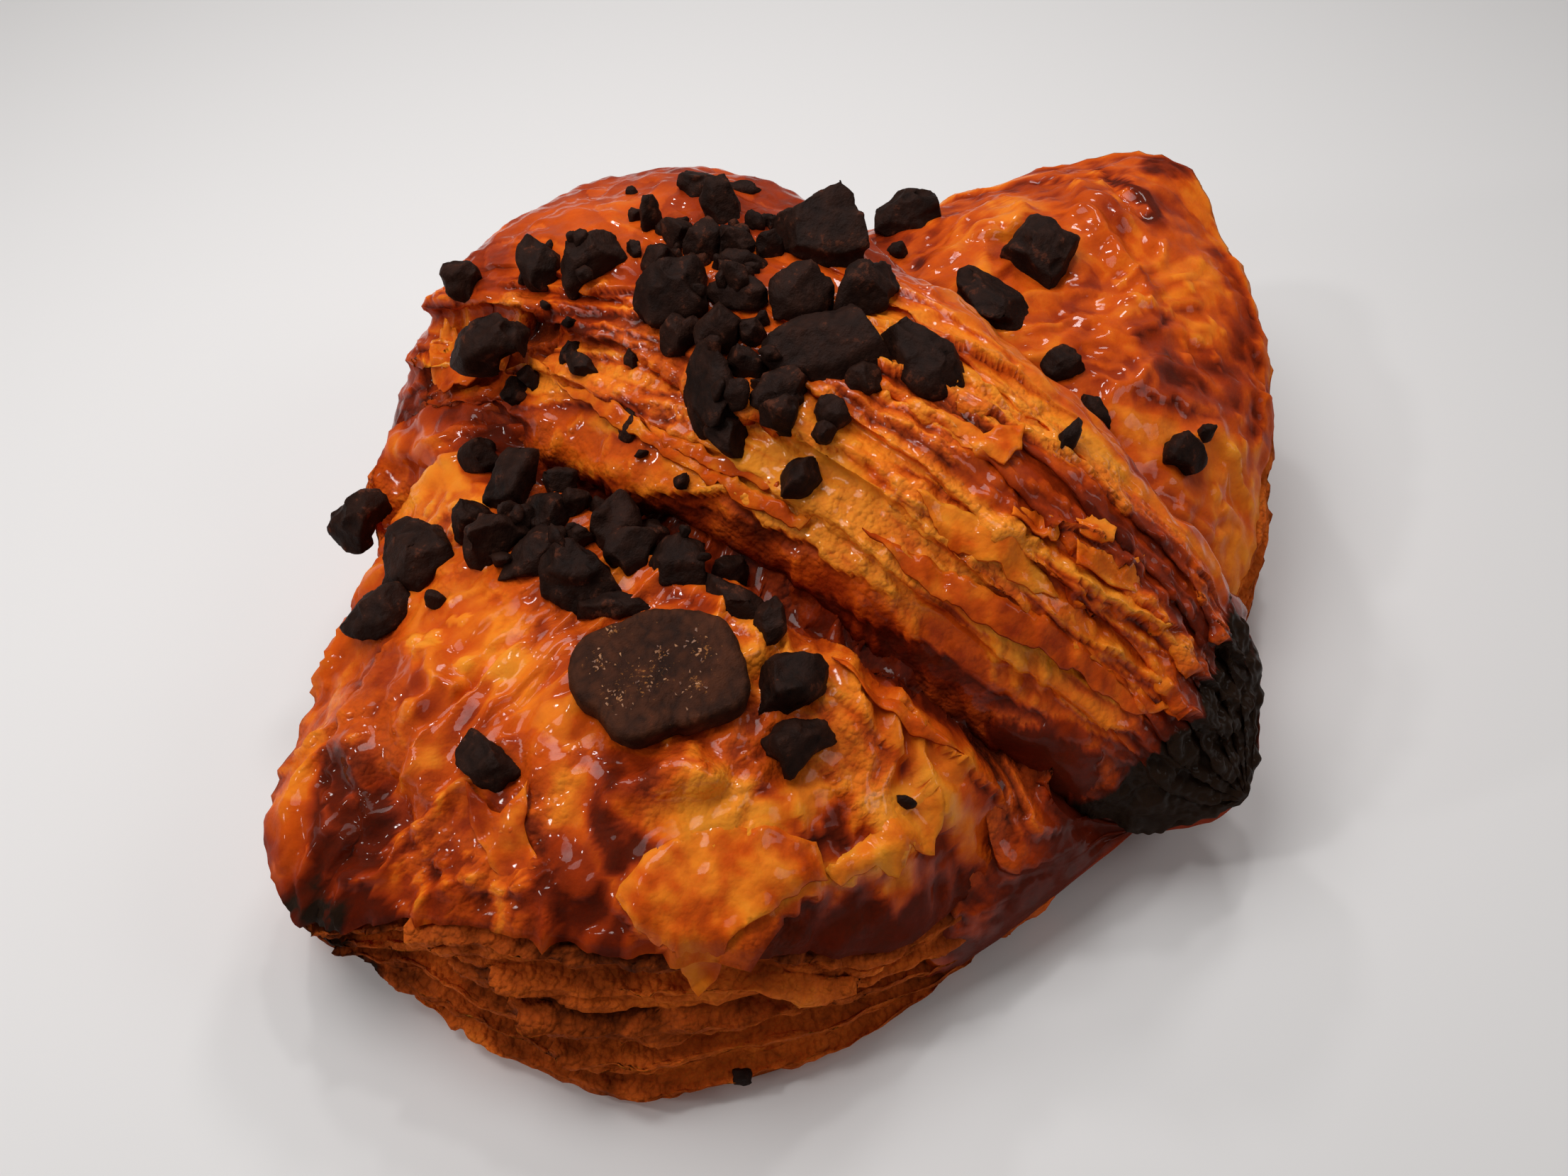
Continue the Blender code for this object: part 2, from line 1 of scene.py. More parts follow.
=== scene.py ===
"""The looks of a chocolate-topped croissant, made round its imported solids.

The crust repeats the form of the solids from the same sizes, with finer leaves, wrinkles, blisters
and torn skin. Sizes are in millimetres here, in the drawing that the solids were made from, and
become metres in the frame where a mesh is made.
"""

import itertools
import json
import math
import random
from typing import NamedTuple

import bmesh
import bpy
import numpy as np
from bpy.props import FloatProperty, FloatVectorProperty, IntProperty, PointerProperty
from mathutils import Matrix, Vector, bvhtree, noise
from mathutils.geometry import delaunay_2d_cdt

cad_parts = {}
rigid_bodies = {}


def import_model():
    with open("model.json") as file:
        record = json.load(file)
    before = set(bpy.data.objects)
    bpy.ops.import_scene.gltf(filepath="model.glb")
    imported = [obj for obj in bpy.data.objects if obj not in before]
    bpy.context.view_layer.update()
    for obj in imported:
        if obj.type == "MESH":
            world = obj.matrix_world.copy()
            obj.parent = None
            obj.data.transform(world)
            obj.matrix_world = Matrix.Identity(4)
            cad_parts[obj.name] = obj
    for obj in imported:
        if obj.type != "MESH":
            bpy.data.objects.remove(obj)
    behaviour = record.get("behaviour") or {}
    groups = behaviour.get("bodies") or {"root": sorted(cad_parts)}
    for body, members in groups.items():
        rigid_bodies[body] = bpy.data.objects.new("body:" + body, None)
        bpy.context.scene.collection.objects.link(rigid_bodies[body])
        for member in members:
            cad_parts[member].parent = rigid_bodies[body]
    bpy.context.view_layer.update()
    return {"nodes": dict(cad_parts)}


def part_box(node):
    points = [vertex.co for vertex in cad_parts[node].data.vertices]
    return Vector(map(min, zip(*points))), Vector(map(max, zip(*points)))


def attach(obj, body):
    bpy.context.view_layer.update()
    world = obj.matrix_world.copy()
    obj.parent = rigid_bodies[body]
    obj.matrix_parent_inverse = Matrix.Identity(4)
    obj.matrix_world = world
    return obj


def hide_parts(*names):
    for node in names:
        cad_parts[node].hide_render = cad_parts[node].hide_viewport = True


bl_info = {
    "name": "Chocolate croissant",
    "version": (1, 0, 0),
    "blender": (4, 5, 0),
    "location": "3D View > Sidebar > Croissant",
    "description": "Makes the baked crust, the chocolate and the stage of a folded croissant",
    "category": "Add Mesh",
}

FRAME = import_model()

MM = 0.001
DRAWN_AT = np.array((-0.46, -1.506, 0.01))  # the drawing's own origin in the frame
ABOVE = 100.0  # over everything
EVENED = 0.7  # how far the patch reaches over which a height is evened out

# The dough's outline on the table, round the middle, counter-clockwise from the rear corner.
MIDDLE = (0.0, 4.0)
OUTLINE = (
    (72, 8), (60.5, 20), (41, 33), (15, 48), (-12, 50.5), (-33, 47),
    (-45.5, 33.5), (-60.5, 24), (-72, 8.5), (-68, -3), (-57.5, -27.5), (-38, -39.5),
    (-15.5, -41.5), (15, -41), (41.5, -35.5), (63, -14),
)
# The rim by the angle at which it is seen from the middle: the height of the skin's lip, how far
# the lip lies inside the outline, how deep the leaves are cut, and how far the foot is tucked in.
RIM = (
    (-180, 13, 0.5, 1.4, 5),
    (-171, 19, 3, 1.8, 1.5),
    (-160, 22.5, 5, 2, 0.5),
    (-141, 22, 5.5, 2, 0.5),
    (-131, 15, 3.5, 1.6, 0.5),
    (-118, 12, 2, 0.8, 1),
    (-100, 11, 2, 0.1, 2),
    (-80, 11, 2, 0.1, 2),
    (-60, 14, 3, 0.8, 1),
    (-38, 22, 3, 1.8, 0.5),
    (-13, 30, 1.5, 1.8, 1.5),
    (3, 34, 0, 1.4, 5),
    (18, 31, 2.5, 1.8, 1.5),
    (38, 26, 4, 1.8, 0.5),
    (58, 20, 3, 0.8, 1),
    (80, 19, 0.5, 0.1, 3),
    (104, 20, 0.5, 0.1, 3),
    (125, 21.5, 0.5, 0.6, 1.5),
    (145, 20, 3, 1.6, 0.5),
    (166, 17, 3, 1.8, 1.5),
    (180, 13, 0.5, 1.4, 5),
)
LEAVES = 5  # that show on the cut side, from the table up to the lip
LEAF_FACE = 0.14  # the share of a leaf's height over which its edge stands out
FOOT_ROUND = 2.0
FOLD_BULGE = 2.5
UNDERSIDE_RINGS = (0.0, 0.35, 0.7, 0.9, 1.0)

# The tops of the two lobes, and the hollow that the arch of the upper flap leaves at its fold.
FRONT_DOME, REAR_DOME = 35.5, 37.5
DIP, DIP_WIDTH = 3.0, 18.0  # between the two, under the flaps
HOLLOW = (-34.5, 40.0, 4.5, 7.0)  # x, y, radius, depth
# The skin's relief: the depth and the size of its billows, creases and blisters.
RELIEF = ((1.3, 11.0), (0.7, 5.0), (0.25, 2.2))

# The upper flap: at each Y its front edge, rear edge, the heights of its foot and of its crest.
UPPER_FLAP = (
    (-53, 2, 15, 10, 16),
    (-48, -1.5, 17.5, 9.5, 22),
    (-40, -6.5, 18.5, 14.5, 32),
    (-28, -12, 17, 22.5, 42),
    (-12, -16.5, 16.5, 31, 48),
    (4, -19.5, 17.5, 33.5, 49.5),
    (22, -23, 19.5, 32, 48.5),
    (38, -27.5, 20.5, 28, 46),
    (49, -30, 18, 18, 41.5),
    (56, -27, 15, 8, 37.5),
)
# Where its leaves end, from foot to crest. The first ones show all along, the rest by the tip.
UPPER_EDGES = (0.0, 0.09, 0.18, 0.28, 0.40, 0.52, 0.64, 0.75)
WHOLE_EDGES = 0.28
EDGES_FADE = (24.0, -10.0)
CREST_AT = 0.6  # how far across a flap its crest lies, from the front edge
OVERHANG = 4.5
END_ROUND = 7.0
FLAP_FLOOR = 1.0  # the flaps stay off the table

# The lower flap, in the same terms. Its fold is at -Y, and its far end is hidden.
LOWER_FLAP = (
    (-46.5, -14, 14, 8, 11),
    (-43, -25, 24, 5, 17),
    (-34, -24.5, 24, 10, 26),
    (-22, -24, 22, 20, 32.5),
    (0, -22, 20, 22, 35),
    (20, -10, 10, 24, 30),
)
LOWER_EDGES = (0.0, 0.12, 0.24, 0.36, 0.48)

CRUST = ("lobes", "upper_flap", "lower_flap")
# The dough's points round it and up it. Most of its rings lie outside the flaps.
DOUGH_TURNS, SIDE_RINGS, TOP_RINGS, COVERED_RINGS, COVERED_FROM = 512, 84, 92, 10, 0.62

# Nibs of chocolate, baked on: the X and Y of the middle, the length, width and height, and the
# turn of the length from +X in degrees.
NIBS = (
    (-14.5, 49.5, 2, 1.5, 1.5, 25), (-16.5, 43.5, 4, 3.5, 3, 125),
    (-11, 36, 6, 4.5, 2.5, 55), (9.5, 32, 4.5, 3.5, 2, 145),
    (-20.5, 30.5, 3.5, 2.5, 1.5, 35), (1, 30.5, 3, 2, 3, 20),
    (-19, 29, 2.5, 1.5, 2, 30), (13.5, 28.5, 4.5, 1.5, 1, 135),
    (-14.5, 27, 1.5, 1, 1, 125), (-15.5, 26, 3, 2, 1.5, 0),
    (7.5, 25.5, 4.5, 4, 3.5, 40), (0.5, 25.5, 4, 3, 2, 115),
    (-4, 24.5, 4, 3.5, 2, 10), (-16.5, 22.5, 4, 2, 1.5, 85),
    (1, 21, 5, 4, 3, 160), (8, 20, 3.5, 1, 1, 130),
    (2.5, 18.5, 4, 3.5, 3, 125), (-13.5, 17.5, 2, 1.5, 1, 25),
    (1, 15.5, 6, 2.5, 1.5, 120), (4.5, 15, 3.5, 2.5, 2, 120),
    (-9.5, 14.5, 3.5, 3.5, 3, 60), (-17.5, 13.5, 3, 3, 1.5, 30),
    (-7, 10.5, 5, 4, 3, 0), (-3.5, 8, 1.5, 1.5, 1.5, 140),
    (-5.5, 7.5, 3, 2.5, 2, 140), (-8.5, 5, 4, 3, 2.5, 140),
    (-13.5, 2.5, 5, 3.5, 2.5, 75), (-9, -0.5, 5.5, 4, 2.5, 155),
    (-11, -2.5, 4, 3.5, 2.5, 140), (-7, -5, 3.5, 3, 2.5, 125),
    (-2.5, -5.5, 3.5, 3, 2.5, 110), (-9.5, -6.5, 2.5, 2, 2, 75),
    (-12.5, -6.5, 4.5, 3, 2.5, 5), (8, -23, 3, 2, 2, 10),
    (-27.5, 29, 4.5, 3, 2.5, 115), (-34.5, 20.5, 4.5, 4, 2.5, 155),
    (-43, 16, 2, 1.5, 1.5, 160), (-29.5, 14, 6, 4.5, 2, 140),
    (-31, 14, 2.5, 2, 1.5, 65), (-29, 9, 3, 2, 1.5, 125),
    (-25.5, 8.5, 7.5, 4.5, 2.5, 50), (-22.5, 6, 2.5, 2.5, 2, 135),
    (-27.5, 3, 4.5, 4, 3, 100), (-21, 2, 3, 1.5, 1.5, 135),
    (-20, -3.5, 4, 3, 2.5, 135), (-24, -13, 5, 2.5, 2.5, 35),
    (-24, -32, 1.5, 1.5, 1, 30), (-48.5, -34, 2, 1.5, 1, 150),
    (29, 17.5, 2.5, 2, 1.5, 105), (26, -10.5, 5, 4, 2.5, 10),
    (23, -17, 4.5, 2.5, 2, 85), (29.5, -26, 6, 4, 2.5, 170),
    (33.5, -26, 2, 1.5, 1.5, 40),
)
# A nib's corners, how square and how uneven it is, and the reach of the crust that it lies on.
NIB_CORNERS, NIB_SQUARE, NIB_UNEVEN, NIB_FOOTING = 6, 3.0, 0.13, 3.0
NIB_SECTIONS = ((0.85, -0.4), (1.0, 0.45), (0.62, 1.0))  # shares of its reach and of its height

# Where the oven browned the crust more (above 0) or left it paler (below 0): the X and Y of the
# middle, the length, the width, the turn of the length from +X, and the change from 0 to 1.
LOBE_SPOTS = (
    # The front lobe.
    (-44.5, 8, 19, 9, 80, -0.24), (-62.5, 6.5, 13, 7, 75, 0.42),
    (-53, -19, 12, 5, 80, 0.23), (-66, 2, 12, 9, 60, 0.21),
    (-47.2, -18.5, 9, 4, 85, 0.37), (-42.3, -15, 8, 3.5, -55, 0.26),
    (-41, -21.8, 12, 5.5, -65, -0.15), (-37.2, -26.5, 15, 7, -65, -0.40),
    (-30.7, -27, 10, 6, -60, -0.22), (-31.5, -30.5, 9, 3, -40, 0.34),
    (-37, -34, 19, 5, -25, 0.34), (-26.5, -38.5, 14, 4, -10, 0.26),
    (-27.5, -33, 17, 4.5, -4, -0.42), (-48.3, -12.3, 7, 4, 60, -0.2),
    (-54.5, 3.5, 9, 2.6, 62, -0.18), (-57, 17.5, 20, 4, 30, -0.13),
    (-33, 30, 22, 6, 85, -0.29), (-27, -20, 20, 4, -75, -0.13),
    (-60.5, -9, 12, 4, 70, 0.21), (-56, -16, 16, 5, 62, 0.16),
    # These two are browner in the hollow under the upper flap's arch: partly its red-brown crust,
    # partly painted shade.
    (-31, 40, 8, 4, 60, 0.30), (-25.5, 27, 14, 3.5, 85, 0.39),
    # The rear lobe.
    (41, -21, 15, 9, -30, 0.21), (49, -27, 9, 5, 40, 0.26),
    (51, -17.5, 8, 5, 60, 0.18), (28, -22, 9, 6, -40, -0.22),
    (37, -30, 13, 6, -30, -0.20), (51, 21, 16, 3.5, -42, -0.29),
    (68.5, 5, 7, 6, 0, 0.34), (59.5, 4.5, 15, 2.2, 62, 0.55),
    (40, -5, 12, 10, 60, -0.06), (45.5, -34, 5, 2.5, 30, 0.34),
    (32, 20, 14, 8, 60, 0.21), (20, 0, 40, 5, 95, 0.26),
    (52, 2, 9, 5, 30, 0.10), (43, 12, 10, 4, 70, -0.11),
    (58, -14, 14, 5, 60, 0.16), (47, -8, 8, 3, 40, 0.18),
)
FLAP_SPOTS = (
    (-14.6, 17, 24, 5, 90, -0.15), (-14, 43, 12, 6, 60, 0.14),
    (-22.5, 42, 9, 5, 60, -0.4), (1.5, -23.5, 14, 8, -65, 0.09),
    (8, -35, 15, 6, -62, 0.20), (-5.5, -24, 17, 4.5, -66, -0.3),
    (-13.8, -15.7, 12, 3.5, -70, -0.16), (-4.5, -8, 14, 6, -80, -0.1),
    (14, -15, 40, 4, 90, -0.14), (13.5, -31, 20, 4, -75, -0.18),
    (-26, 40, 14, 8, 90, -0.12), (-9, -38, 12, 5, -60, 0.2),
)
# Where it charred, in the same terms.
LOBE_CHAR = ((-72.5, 5.0, 6.0, 8.0, 80, 0.32), (-70.0, 0.5, 6.0, 3.5, 60, 0.26))
# The flaps' tip darkens and then chars as it reaches this way. The pairs say from where to where.
TIP_FACING, TIP_DARK, TIP_CHAR = (0.8, -1.0, -1.1), (9.0, 22.0), (21.5, 25.0)
TIP_BAKE, CHAR_BAKE = 0.46, 0.5
CHARRING = (0.86, 1.05)  # how baked crust is as it starts to char and when all of it has
LEAST_BAKED, MOST_BAKED = 0.04, 0.86  # short of charring
UNDERSIDE_BAKED, UNDER_FLAP_BAKED, ARCH_BAKED = 0.5, 0.72, 0.62
# How bright the dry leaves are against their own colour, by how baked they are.
DRY_STOPS = ((0.1, 1.7), (0.35, 1.4), (0.55, 1.0), (0.72, 0.6), (0.88, 0.18), (1.0, 0.022))
CONTACT_REACH, CONTACT_SHADE = 2.4, 0.2  # darker within this of another body of the crust, as painted shade
# The groove under the upper flap's front edge: how far before the edge it runs, and the pairs of Y
# from where to where it fades in at its two ends.
GROOVE_DEPTH, GROOVE_WIDTH, GROOVE_FORWARD = 4.5, 2.4, 1.2
GROOVE_BETWEEN = ((-48, -41), (30, 22))
# The arch at the upper flap's fold: its middle along the flap, its half length, its share of the
# section, and its depth.
ARCH = (39.0, 11.0, 0.16, 3.6)
# Where the skin is torn. It ends along each line and is lifted on the line's left: the lift, how
# far the lift reaches in from the edge, and the line's points.
LOBE_TEARS = (
    (1.3, 7, ((-51.6, -20.5), (-51.1, -24.1), (-49.4, -26.7), (-47.2, -30.1), (-44.9, -31.2),
                (-42.3, -30.7), (-38.5, -31.1), (-35.2, -32.7))),
    (1.1, 3, ((-35.8, -31.5), (-33, -33.6), (-28.5, -34.4), (-23, -34.8))),
    (0.9, 3, ((-53, -3.2), (-54.4, -6), (-54, -9), (-51.5, -10.2))),
    (0.6, 4, ((-56, -6), (-58.3, -10.6), (-56, -14.5), (-52, -15.6))),
    (0.6, 4, ((-52.8, -14.4), (-54, -18), (-51.5, -21))),
    (0.8, 5, ((-47.5, 18.3), (-54.3, 15.1), (-59.5, 12.8), (-63, 9))),
    (0.7, 4, ((-57.5, 2.5), (-59.8, -2.5), (-60, -7.5), (-57.5, -11))),
    (0.6, 3.5, ((-41.5, -24), (-38.8, -24.4), (-36, -23), (-34, -24.6))),
    (0.6, 3.5, ((-33.5, -24), (-34.8, -28.5), (-31, -31.3), (-27.5, -30.5))),
    (0.8, 4, ((35, -12), (40.5, -13.5), (46, -12.5), (51, -14))),
    (0.6, 4, ((30, -18), (34, -22.5), (40, -26))),
    (0.7, 5, ((64, -8), (57, -17), (49, -24.5), (41, -29.5))),
    (0.6, 4, ((45, 24), (52, 18), (58, 13))),
)
FLAP_TEARS = (
    (1, 3, ((-4.5, -22.3), (-3.4, -25.8), (-0.8, -27.8), (1.4, -27))),
    (1.2, 3.5, ((1.2, -27), (1.4, -30.3), (4.2, -33.8), (7.6, -34.8))),
    (1, 3.5, ((-1.6, -29.8), (-0.3, -33), (3, -37), (8, -41.5))),
    (0.7, 4, ((-9, -14), (-8.5, -19.5), (-6.5, -24.5), (-3.5, -29.5))),
    (0.7, 4, ((-2.5, -4), (-2, -10), (-0.5, -15.5), (1, -19))),
    (0.8, 4, ((4, -6), (4.5, -11), (6, -17), (8.5, -21))),
    (0.6, 4, ((-13, 8), (-12.5, 0), (-11.5, -6))),
    (1, 3.5, ((-22.5, 36.5), (-23.5, 40), (-22, 44), (-18.5, 46.5))),
)
# Loose flakes of skin: how baked, how far the free end lifts, the two ends of the line along
# which the flake is still attached, and its outline.
FLAKES = (
    (0.34, 1.1, ((-47, -19.5), (-36.5, -25.5)), (
        (-51.6, -21.7), (-51.9, -25.1), (-50.8, -28.2), (-50.4, -30.6), (-47, -31.2),
        (-43.3, -31.7), (-39.5, -32.1), (-35.2, -32.7), (-34.4, -30), (-38, -26),
        (-41.3, -23), (-47.6, -20.8))),
    (0.50, 0.8, ((-57, -12), (-54.5, -14.5)), (
        (-54.3, -3.1), (-54.1, -5.2), (-53.6, -7.8), (-50.3, -8), (-52.7, -10.4),
        (-54.4, -14.3), (-57, -12.2), (-57.1, -9.8), (-56.3, -7))),
    (0.22, 0.9, ((-20, -33), (-34.5, -31.5)), (
        (-35.3, -31.9), (-30.1, -32), (-25.7, -32.2), (-20, -32.5), (-21, -35),
        (-24.5, -36.6), (-26.5, -35.4), (-29.1, -36.4), (-31, -34.6), (-34.8, -33.6))),
    (0.33, 0.8, ((3.5, -28.5), (6, -30)), (
        (3.5, -28.6), (5.4, -29.5), (6, -31.9), (4.3, -32.7), (2.5, -31.4), (2, -30.3))),
    (0.36, 1, ((7.5, -34.5), (4.5, -37)), (
        (1.3, -30.2), (2.6, -32.2), (4.3, -34.4), (7.5, -34.8), (4.5, -36.5), (1.8, -34.3),
        (-0.1, -31.5))),
    (0.34, 0.8, ((1, -28.5), (-1, -24.5)), (
        (-1.4, -24.5), (0.2, -25.6), (1.1, -28.4), (0, -28.7), (-1.5, -26.4), (-2.7, -25.1))),
    (0.31, 0.9, ((-1, -12), (-1, -17)), (
        (1.5, -17.5), (4.8, -20), (3.1, -21.3), (0.2, -21.6), (-1.1, -16.9), (-1, -12),
        (0.2, -13.3))),
    (0.22, 0.7, ((-5, -18), (-1.5, -31)), (
        (-7.5, -17), (-5.2, -19.7), (-3.1, -25.1), (-1.7, -30.4), (-1.9, -31.7),
        (-4.3, -29.9), (-6.3, -25.6), (-8, -21.1))),
    (0.52, 0.8, ((-9.5, -18.5), (3, -46)), (
        (-12, -14.5), (-9.3, -20.6), (-7, -27), (-2.7, -34), (0.8, -41.1),
        (2.3, -45), (-1.4, -41), (-4.9, -35), (-8.9, -28.7), (-11.4, -20.6))),
    (0.42, 0.4, ((-16.5, 13), (-13.5, -5)), (
        (-17.4, 12.6), (-16.8, 7.2), (-15.7, 2.8), (-13.6, -4.4), (-14.6, -5),
        (-16.8, 1.7), (-18, 7.7))),
    (0.38, 0.4, ((-17.5, 25), (-14, -9)), (
        (-18.6, 25.2), (-17.8, 17.5), (-17.7, 12.8), (-16.9, 4.6), (-15.8, -2.7),
        (-14.2, -9.3), (-15.4, -9.2), (-17.3, -1.6), (-18.6, 7.5), (-19.2, 16))),
    (0.39, 1, ((-19, 38), (-20, 46)), (
        (-19.5, 36), (-22.5, 37.5), (-24.5, 40.5), (-23.5, 43.5), (-21.5, 46.5),
        (-19, 46))),
    # Over the groove.
    (0.48, 0.8, ((-20, -18.5), (-15.5, -32)), (
        (-20.7, -18.6), (-19.4, -24.2), (-16.8, -30.8), (-16, -33), (-18.6, -30),
        (-21.2, -23.8))),
)
# The spacing of a flake's points, its thickness, and how deep its root is set in the crust.
FLAKE_GRAIN, FLAKE_THICK, FLAKE_SUNK = 0.42, 0.25, 0.4
HANG = 1.05  # the steepest slope at which a flake hangs out over a rim
# How far a flake buckles at its free end and ripples all over, with the noise's sizes. How its bake
# varies: patches (how much, their size and seed), the free end, and a paler rim and its width.
FLAKE_BUCKLE, FLAKE_RIPPLE = (0.7, 3.2), (0.15, 1.1)
FLAKE_PATCHES = ((0.28, 3.5, 5), (0.16, 1.2, 9))
FLAKE_END_BAKE, FLAKE_RIM_BAKE, FLAKE_RIM = 0.14, 0.08, 0.35
# How far a flake's outline is ragged, the noise's size, and its seeds along X and Y.
FLAKE_RAGGED, RAGGED_SIZE, RAGGED_SEEDS = 0.45, 1.8, (20.3, 51.6)

# Folds of loose skin: the height (a groove below 0), the width and the line's points.
LOBE_FOLDS = (
    (1.7, 1.9, ((-51.5, 8.5), (-53.2, 5), (-55, 2), (-57.3, -1.5))),
    (1.5, 1.4, ((-47.5, -13.6), (-44.5, -15.6), (-41.5, -17.6), (-37, -20.6))),
    (1.4, 1.6, ((-41, -15.5), (-38.6, -18.5), (-36.6, -22))),
    (1.2, 1.7, ((-46.5, 12.5), (-49, 8.5), (-48, 3.5))),
    (1, 1.4, ((-46, 1), (-49.5, -2), (-49, -6))),
    (0.9, 1.3, ((-56.5, 12), (-60, 7.5), (-61.5, 2))),
    (-0.8, 1, ((63.5, 11), (60.5, 7.5), (57.4, 3.4), (55.8, -1.7))),
    (1.4, 1.8, ((50, 8), (49, 2), (46, -3), (46.5, -9))),
    (1.2, 1.7, ((55.5, 12), (53, 6), (52.5, -1))),
    (1, 1.6, ((38, -8), (42.5, -9.5), (47, -8.5))),
    (0.9, 1.6, ((35, 12), (42, 9), (47, 11))),
)
# Blisters in the skin: the X and Y of the middle, how far they spread, and how many.
LOBE_BLISTERS = (
    (-61, -4, 6, 44), (-57, -12, 6, 20), (-63, 7, 4, 24), (-44, 12, 6, 10),
    (-40, -20, 5, 18), (44, -14, 9, 20), (58, 8, 7, 12), (36, -27, 6, 12),
    (-36, 30, 6, 12),
)
FLAP_BLISTERS = (
    (-14.5, 18, 8, 46), (-14.5, 9, 4, 18), (2, -24, 6, 26), (-7, -30, 6, 30),
    (-12, -14, 7, 24), (6, -40, 7, 40), (-20, 34, 7, 16), (2, -5, 8, 18),
)
BLISTER_REACH, BLISTER_RISE, BLISTER_SHOWS = (0.35, 0.95), 0.55, 0.1

# Noise that moves torn edges, folds and spots about, as pairs of how far and the noise's size.
TEAR_WAVER, FOLD_WAVER, SPOT_WAVER = ((0.8, 1.6),), ((1.2, 3.5),), ((2.2, 5.0), (0.9, 1.8))
SPOT_EDGE = (1.35, 0.65)  # a spot fades between these shares of its size
LINE_FADE = 2.5  # how soon a tear or a fold fades in from its ends
TEAR_EDGE, TEAR_RIM, TEAR_SHADE_REACH = 0.25, 0.7, 0.9  # half the step, and how far its rim and the painted shade below it reach
PEEL_EDGE = 0.16  # the share of a peeled layer that is its edge
BUBBLE_REACH = 0.62  # of a bubble's own size

# Leaves that overlap: at how many places each is worked out, what sets their noise apart, how it
# bends them, as pairs of how far and its size, half an edge's width, how far a leaf slopes down
# behind its edge, as a share of the pitch, and how wide its rim and the painted shade under it are.
LAYER_PLACES, LAYER_APART, LAYER_BENDS = 400, 31.7, ((0.95, 26.0), (0.3, 7.0), (0.10, 1.8))
LAYER_EDGE, LAYER_SLOPE, LAYER_RIM, LAYER_SHADE_REACH = 0.12, 0.65, 0.5, 0.8
# Their rows: how far across the first one lies, their pitch, their number, and their seed.
GROOVE_STRIPS, SIDE_LEAVES, SIDE_HAIRS = (-36.0, 3.6, 6, 25), (-9, 4.4, 10, 21), (-9, 1.7, 23, 26)
FLAP_STRIPS, FLAP_THREADS = (-7.0, 5.4, 14, 42), (-8.0, 2.3, 33, 47)
# Where the strips beside the groove lie: the pairs of X, and of Y, from where to where they set in.
STRIPS_IN_X, STRIPS_IN_Y = ((-34, -26), (-8, -13)), ((8, -6), (-40, -35))

# The lobes' skin: where it becomes the front lobe's along X, how high its relief is on the rear
# lobe against the front one, how many millimetres of pattern a radian and a millimetre of reach
# make, and from what reach to what reach the wrinkles set in.
TO_FRONT, REAR_RELIEF = (10, -10), 0.55
LOBE_TURN, WRINKLE_STRETCH, WRINKLES_FROM = 50, 0.42, (14, 30)
# The lobes' sides: millimetres to a radian along the leaves and along the lip, and where the front
# lobe's leaves lie level, in radians, and how they slope from there.
SIDE_TURN, LIP_TURN, LEAVES_LEVEL_AT, LEAF_SLOPE = 58, 60, -2.3, 8.0
OFF_TABLE = (0.2, 3.0)  # the height at which the relief sets in
# The flaps: the girth that the strips' widths are for, how long a flap is across the strips, how
# much the strips fan out from the groove, and along Y where the upper one's leaves reach its crest
# and where its threads are finer.
FLAP_SIZE, FLAP_LENGTH, FAN_OUT = 45, 62, 0.16
LEAFY_BY_TIP, FINE_THREADS = (14.0, -8.0), (-8, 10)

# Noise that is summed: its share, its size and its seed.
SKIN_GRAIN = ((0.12, 1.5, 27), (0.05, 0.8, 28))
SKIN_MOTTLE = ((0.13, 15.0, 31), (0.06, 3.5, 32))
LOBE_CHAR_LUMPS = ((0.9, 2.2, 55), (0.4, 0.9, 56))
FLAP_CHAR_LUMPS = ((0.8, 2.4, 55), (0.35, 0.9, 56))

# How high each pattern stands, in millimetres (RISE), and how much browner (above 0) or paler
# (below 0) it is painted (BAKE). Most of that is the oven's browning, but the valley of each
# wrinkle, the groove under each strip, leaf and thread, the skin under a tear, the groove under
# the upper flap and that flap's foot are darker as painted shade, and the puckers' crests paler as
# painted light.
SKIN_RISE = {
    "tears": 1.0, "folds": 1.3, "bubbles": 1.0, "puckers": 0.8, "front_puckers": 0.9,
    "strips": 0.9, "beside": -0.3,
}
SKIN_BAKE_AND_SHADING = {
    "all": 0.54, "layers": 0.11, "valley_shade": 0.44, "puckers": -0.20, "torn_rims": -0.08,
    "under_tears": 0.3, "blistered": -0.2, "strip_shade": 0.3, "strip_edges": -0.1,
    "strip_tones": 0.08, "beside": -0.05,
}
SIDE_RISE = {"all": -0.9, "leaves": 1.2, "hairs": 0.15, "crumb": 0.15, "airy_crumb": 0.35}
SIDE_BAKE_AND_SHADE = {
    "all": 0.56, "leaf_shade": 0.26, "edges": -0.12, "hairs": -0.05, "tones": 0.15, "mottle": 0.10,
    "oven": 0.5, "airy": -0.08,
}
LEAF_RISE = {
    "all": -0.7, "strips": 1.3, "threads": 0.25, "fine_threads": 0.3, "lumps": 0.3, "foam": 0.32,
}
LEAF_BAKE_AND_SHADE = {
    "all": -0.26, "edges": -0.14, "leaf_shade": 0.6, "tones": 0.28, "thread_edges": -0.10,
    "thread_shade": 0.32, "thread_tones": 0.12, "fine_thread_shade": 0.3, "lumps": -0.12,
    "airy": -0.03, "foam": -0.09,
}
FLAP_BAKE_AND_SHADE = {
    "all": 0.46, "skin": 0.09, "layers": 0.11, "torn_rims": -0.10, "under_tears": 0.26,
    "blistered": -0.12, "leaf_end_shade": 0.16, "mottle": 0.06, "bands": 0.13, "streaks": 0.06,
}
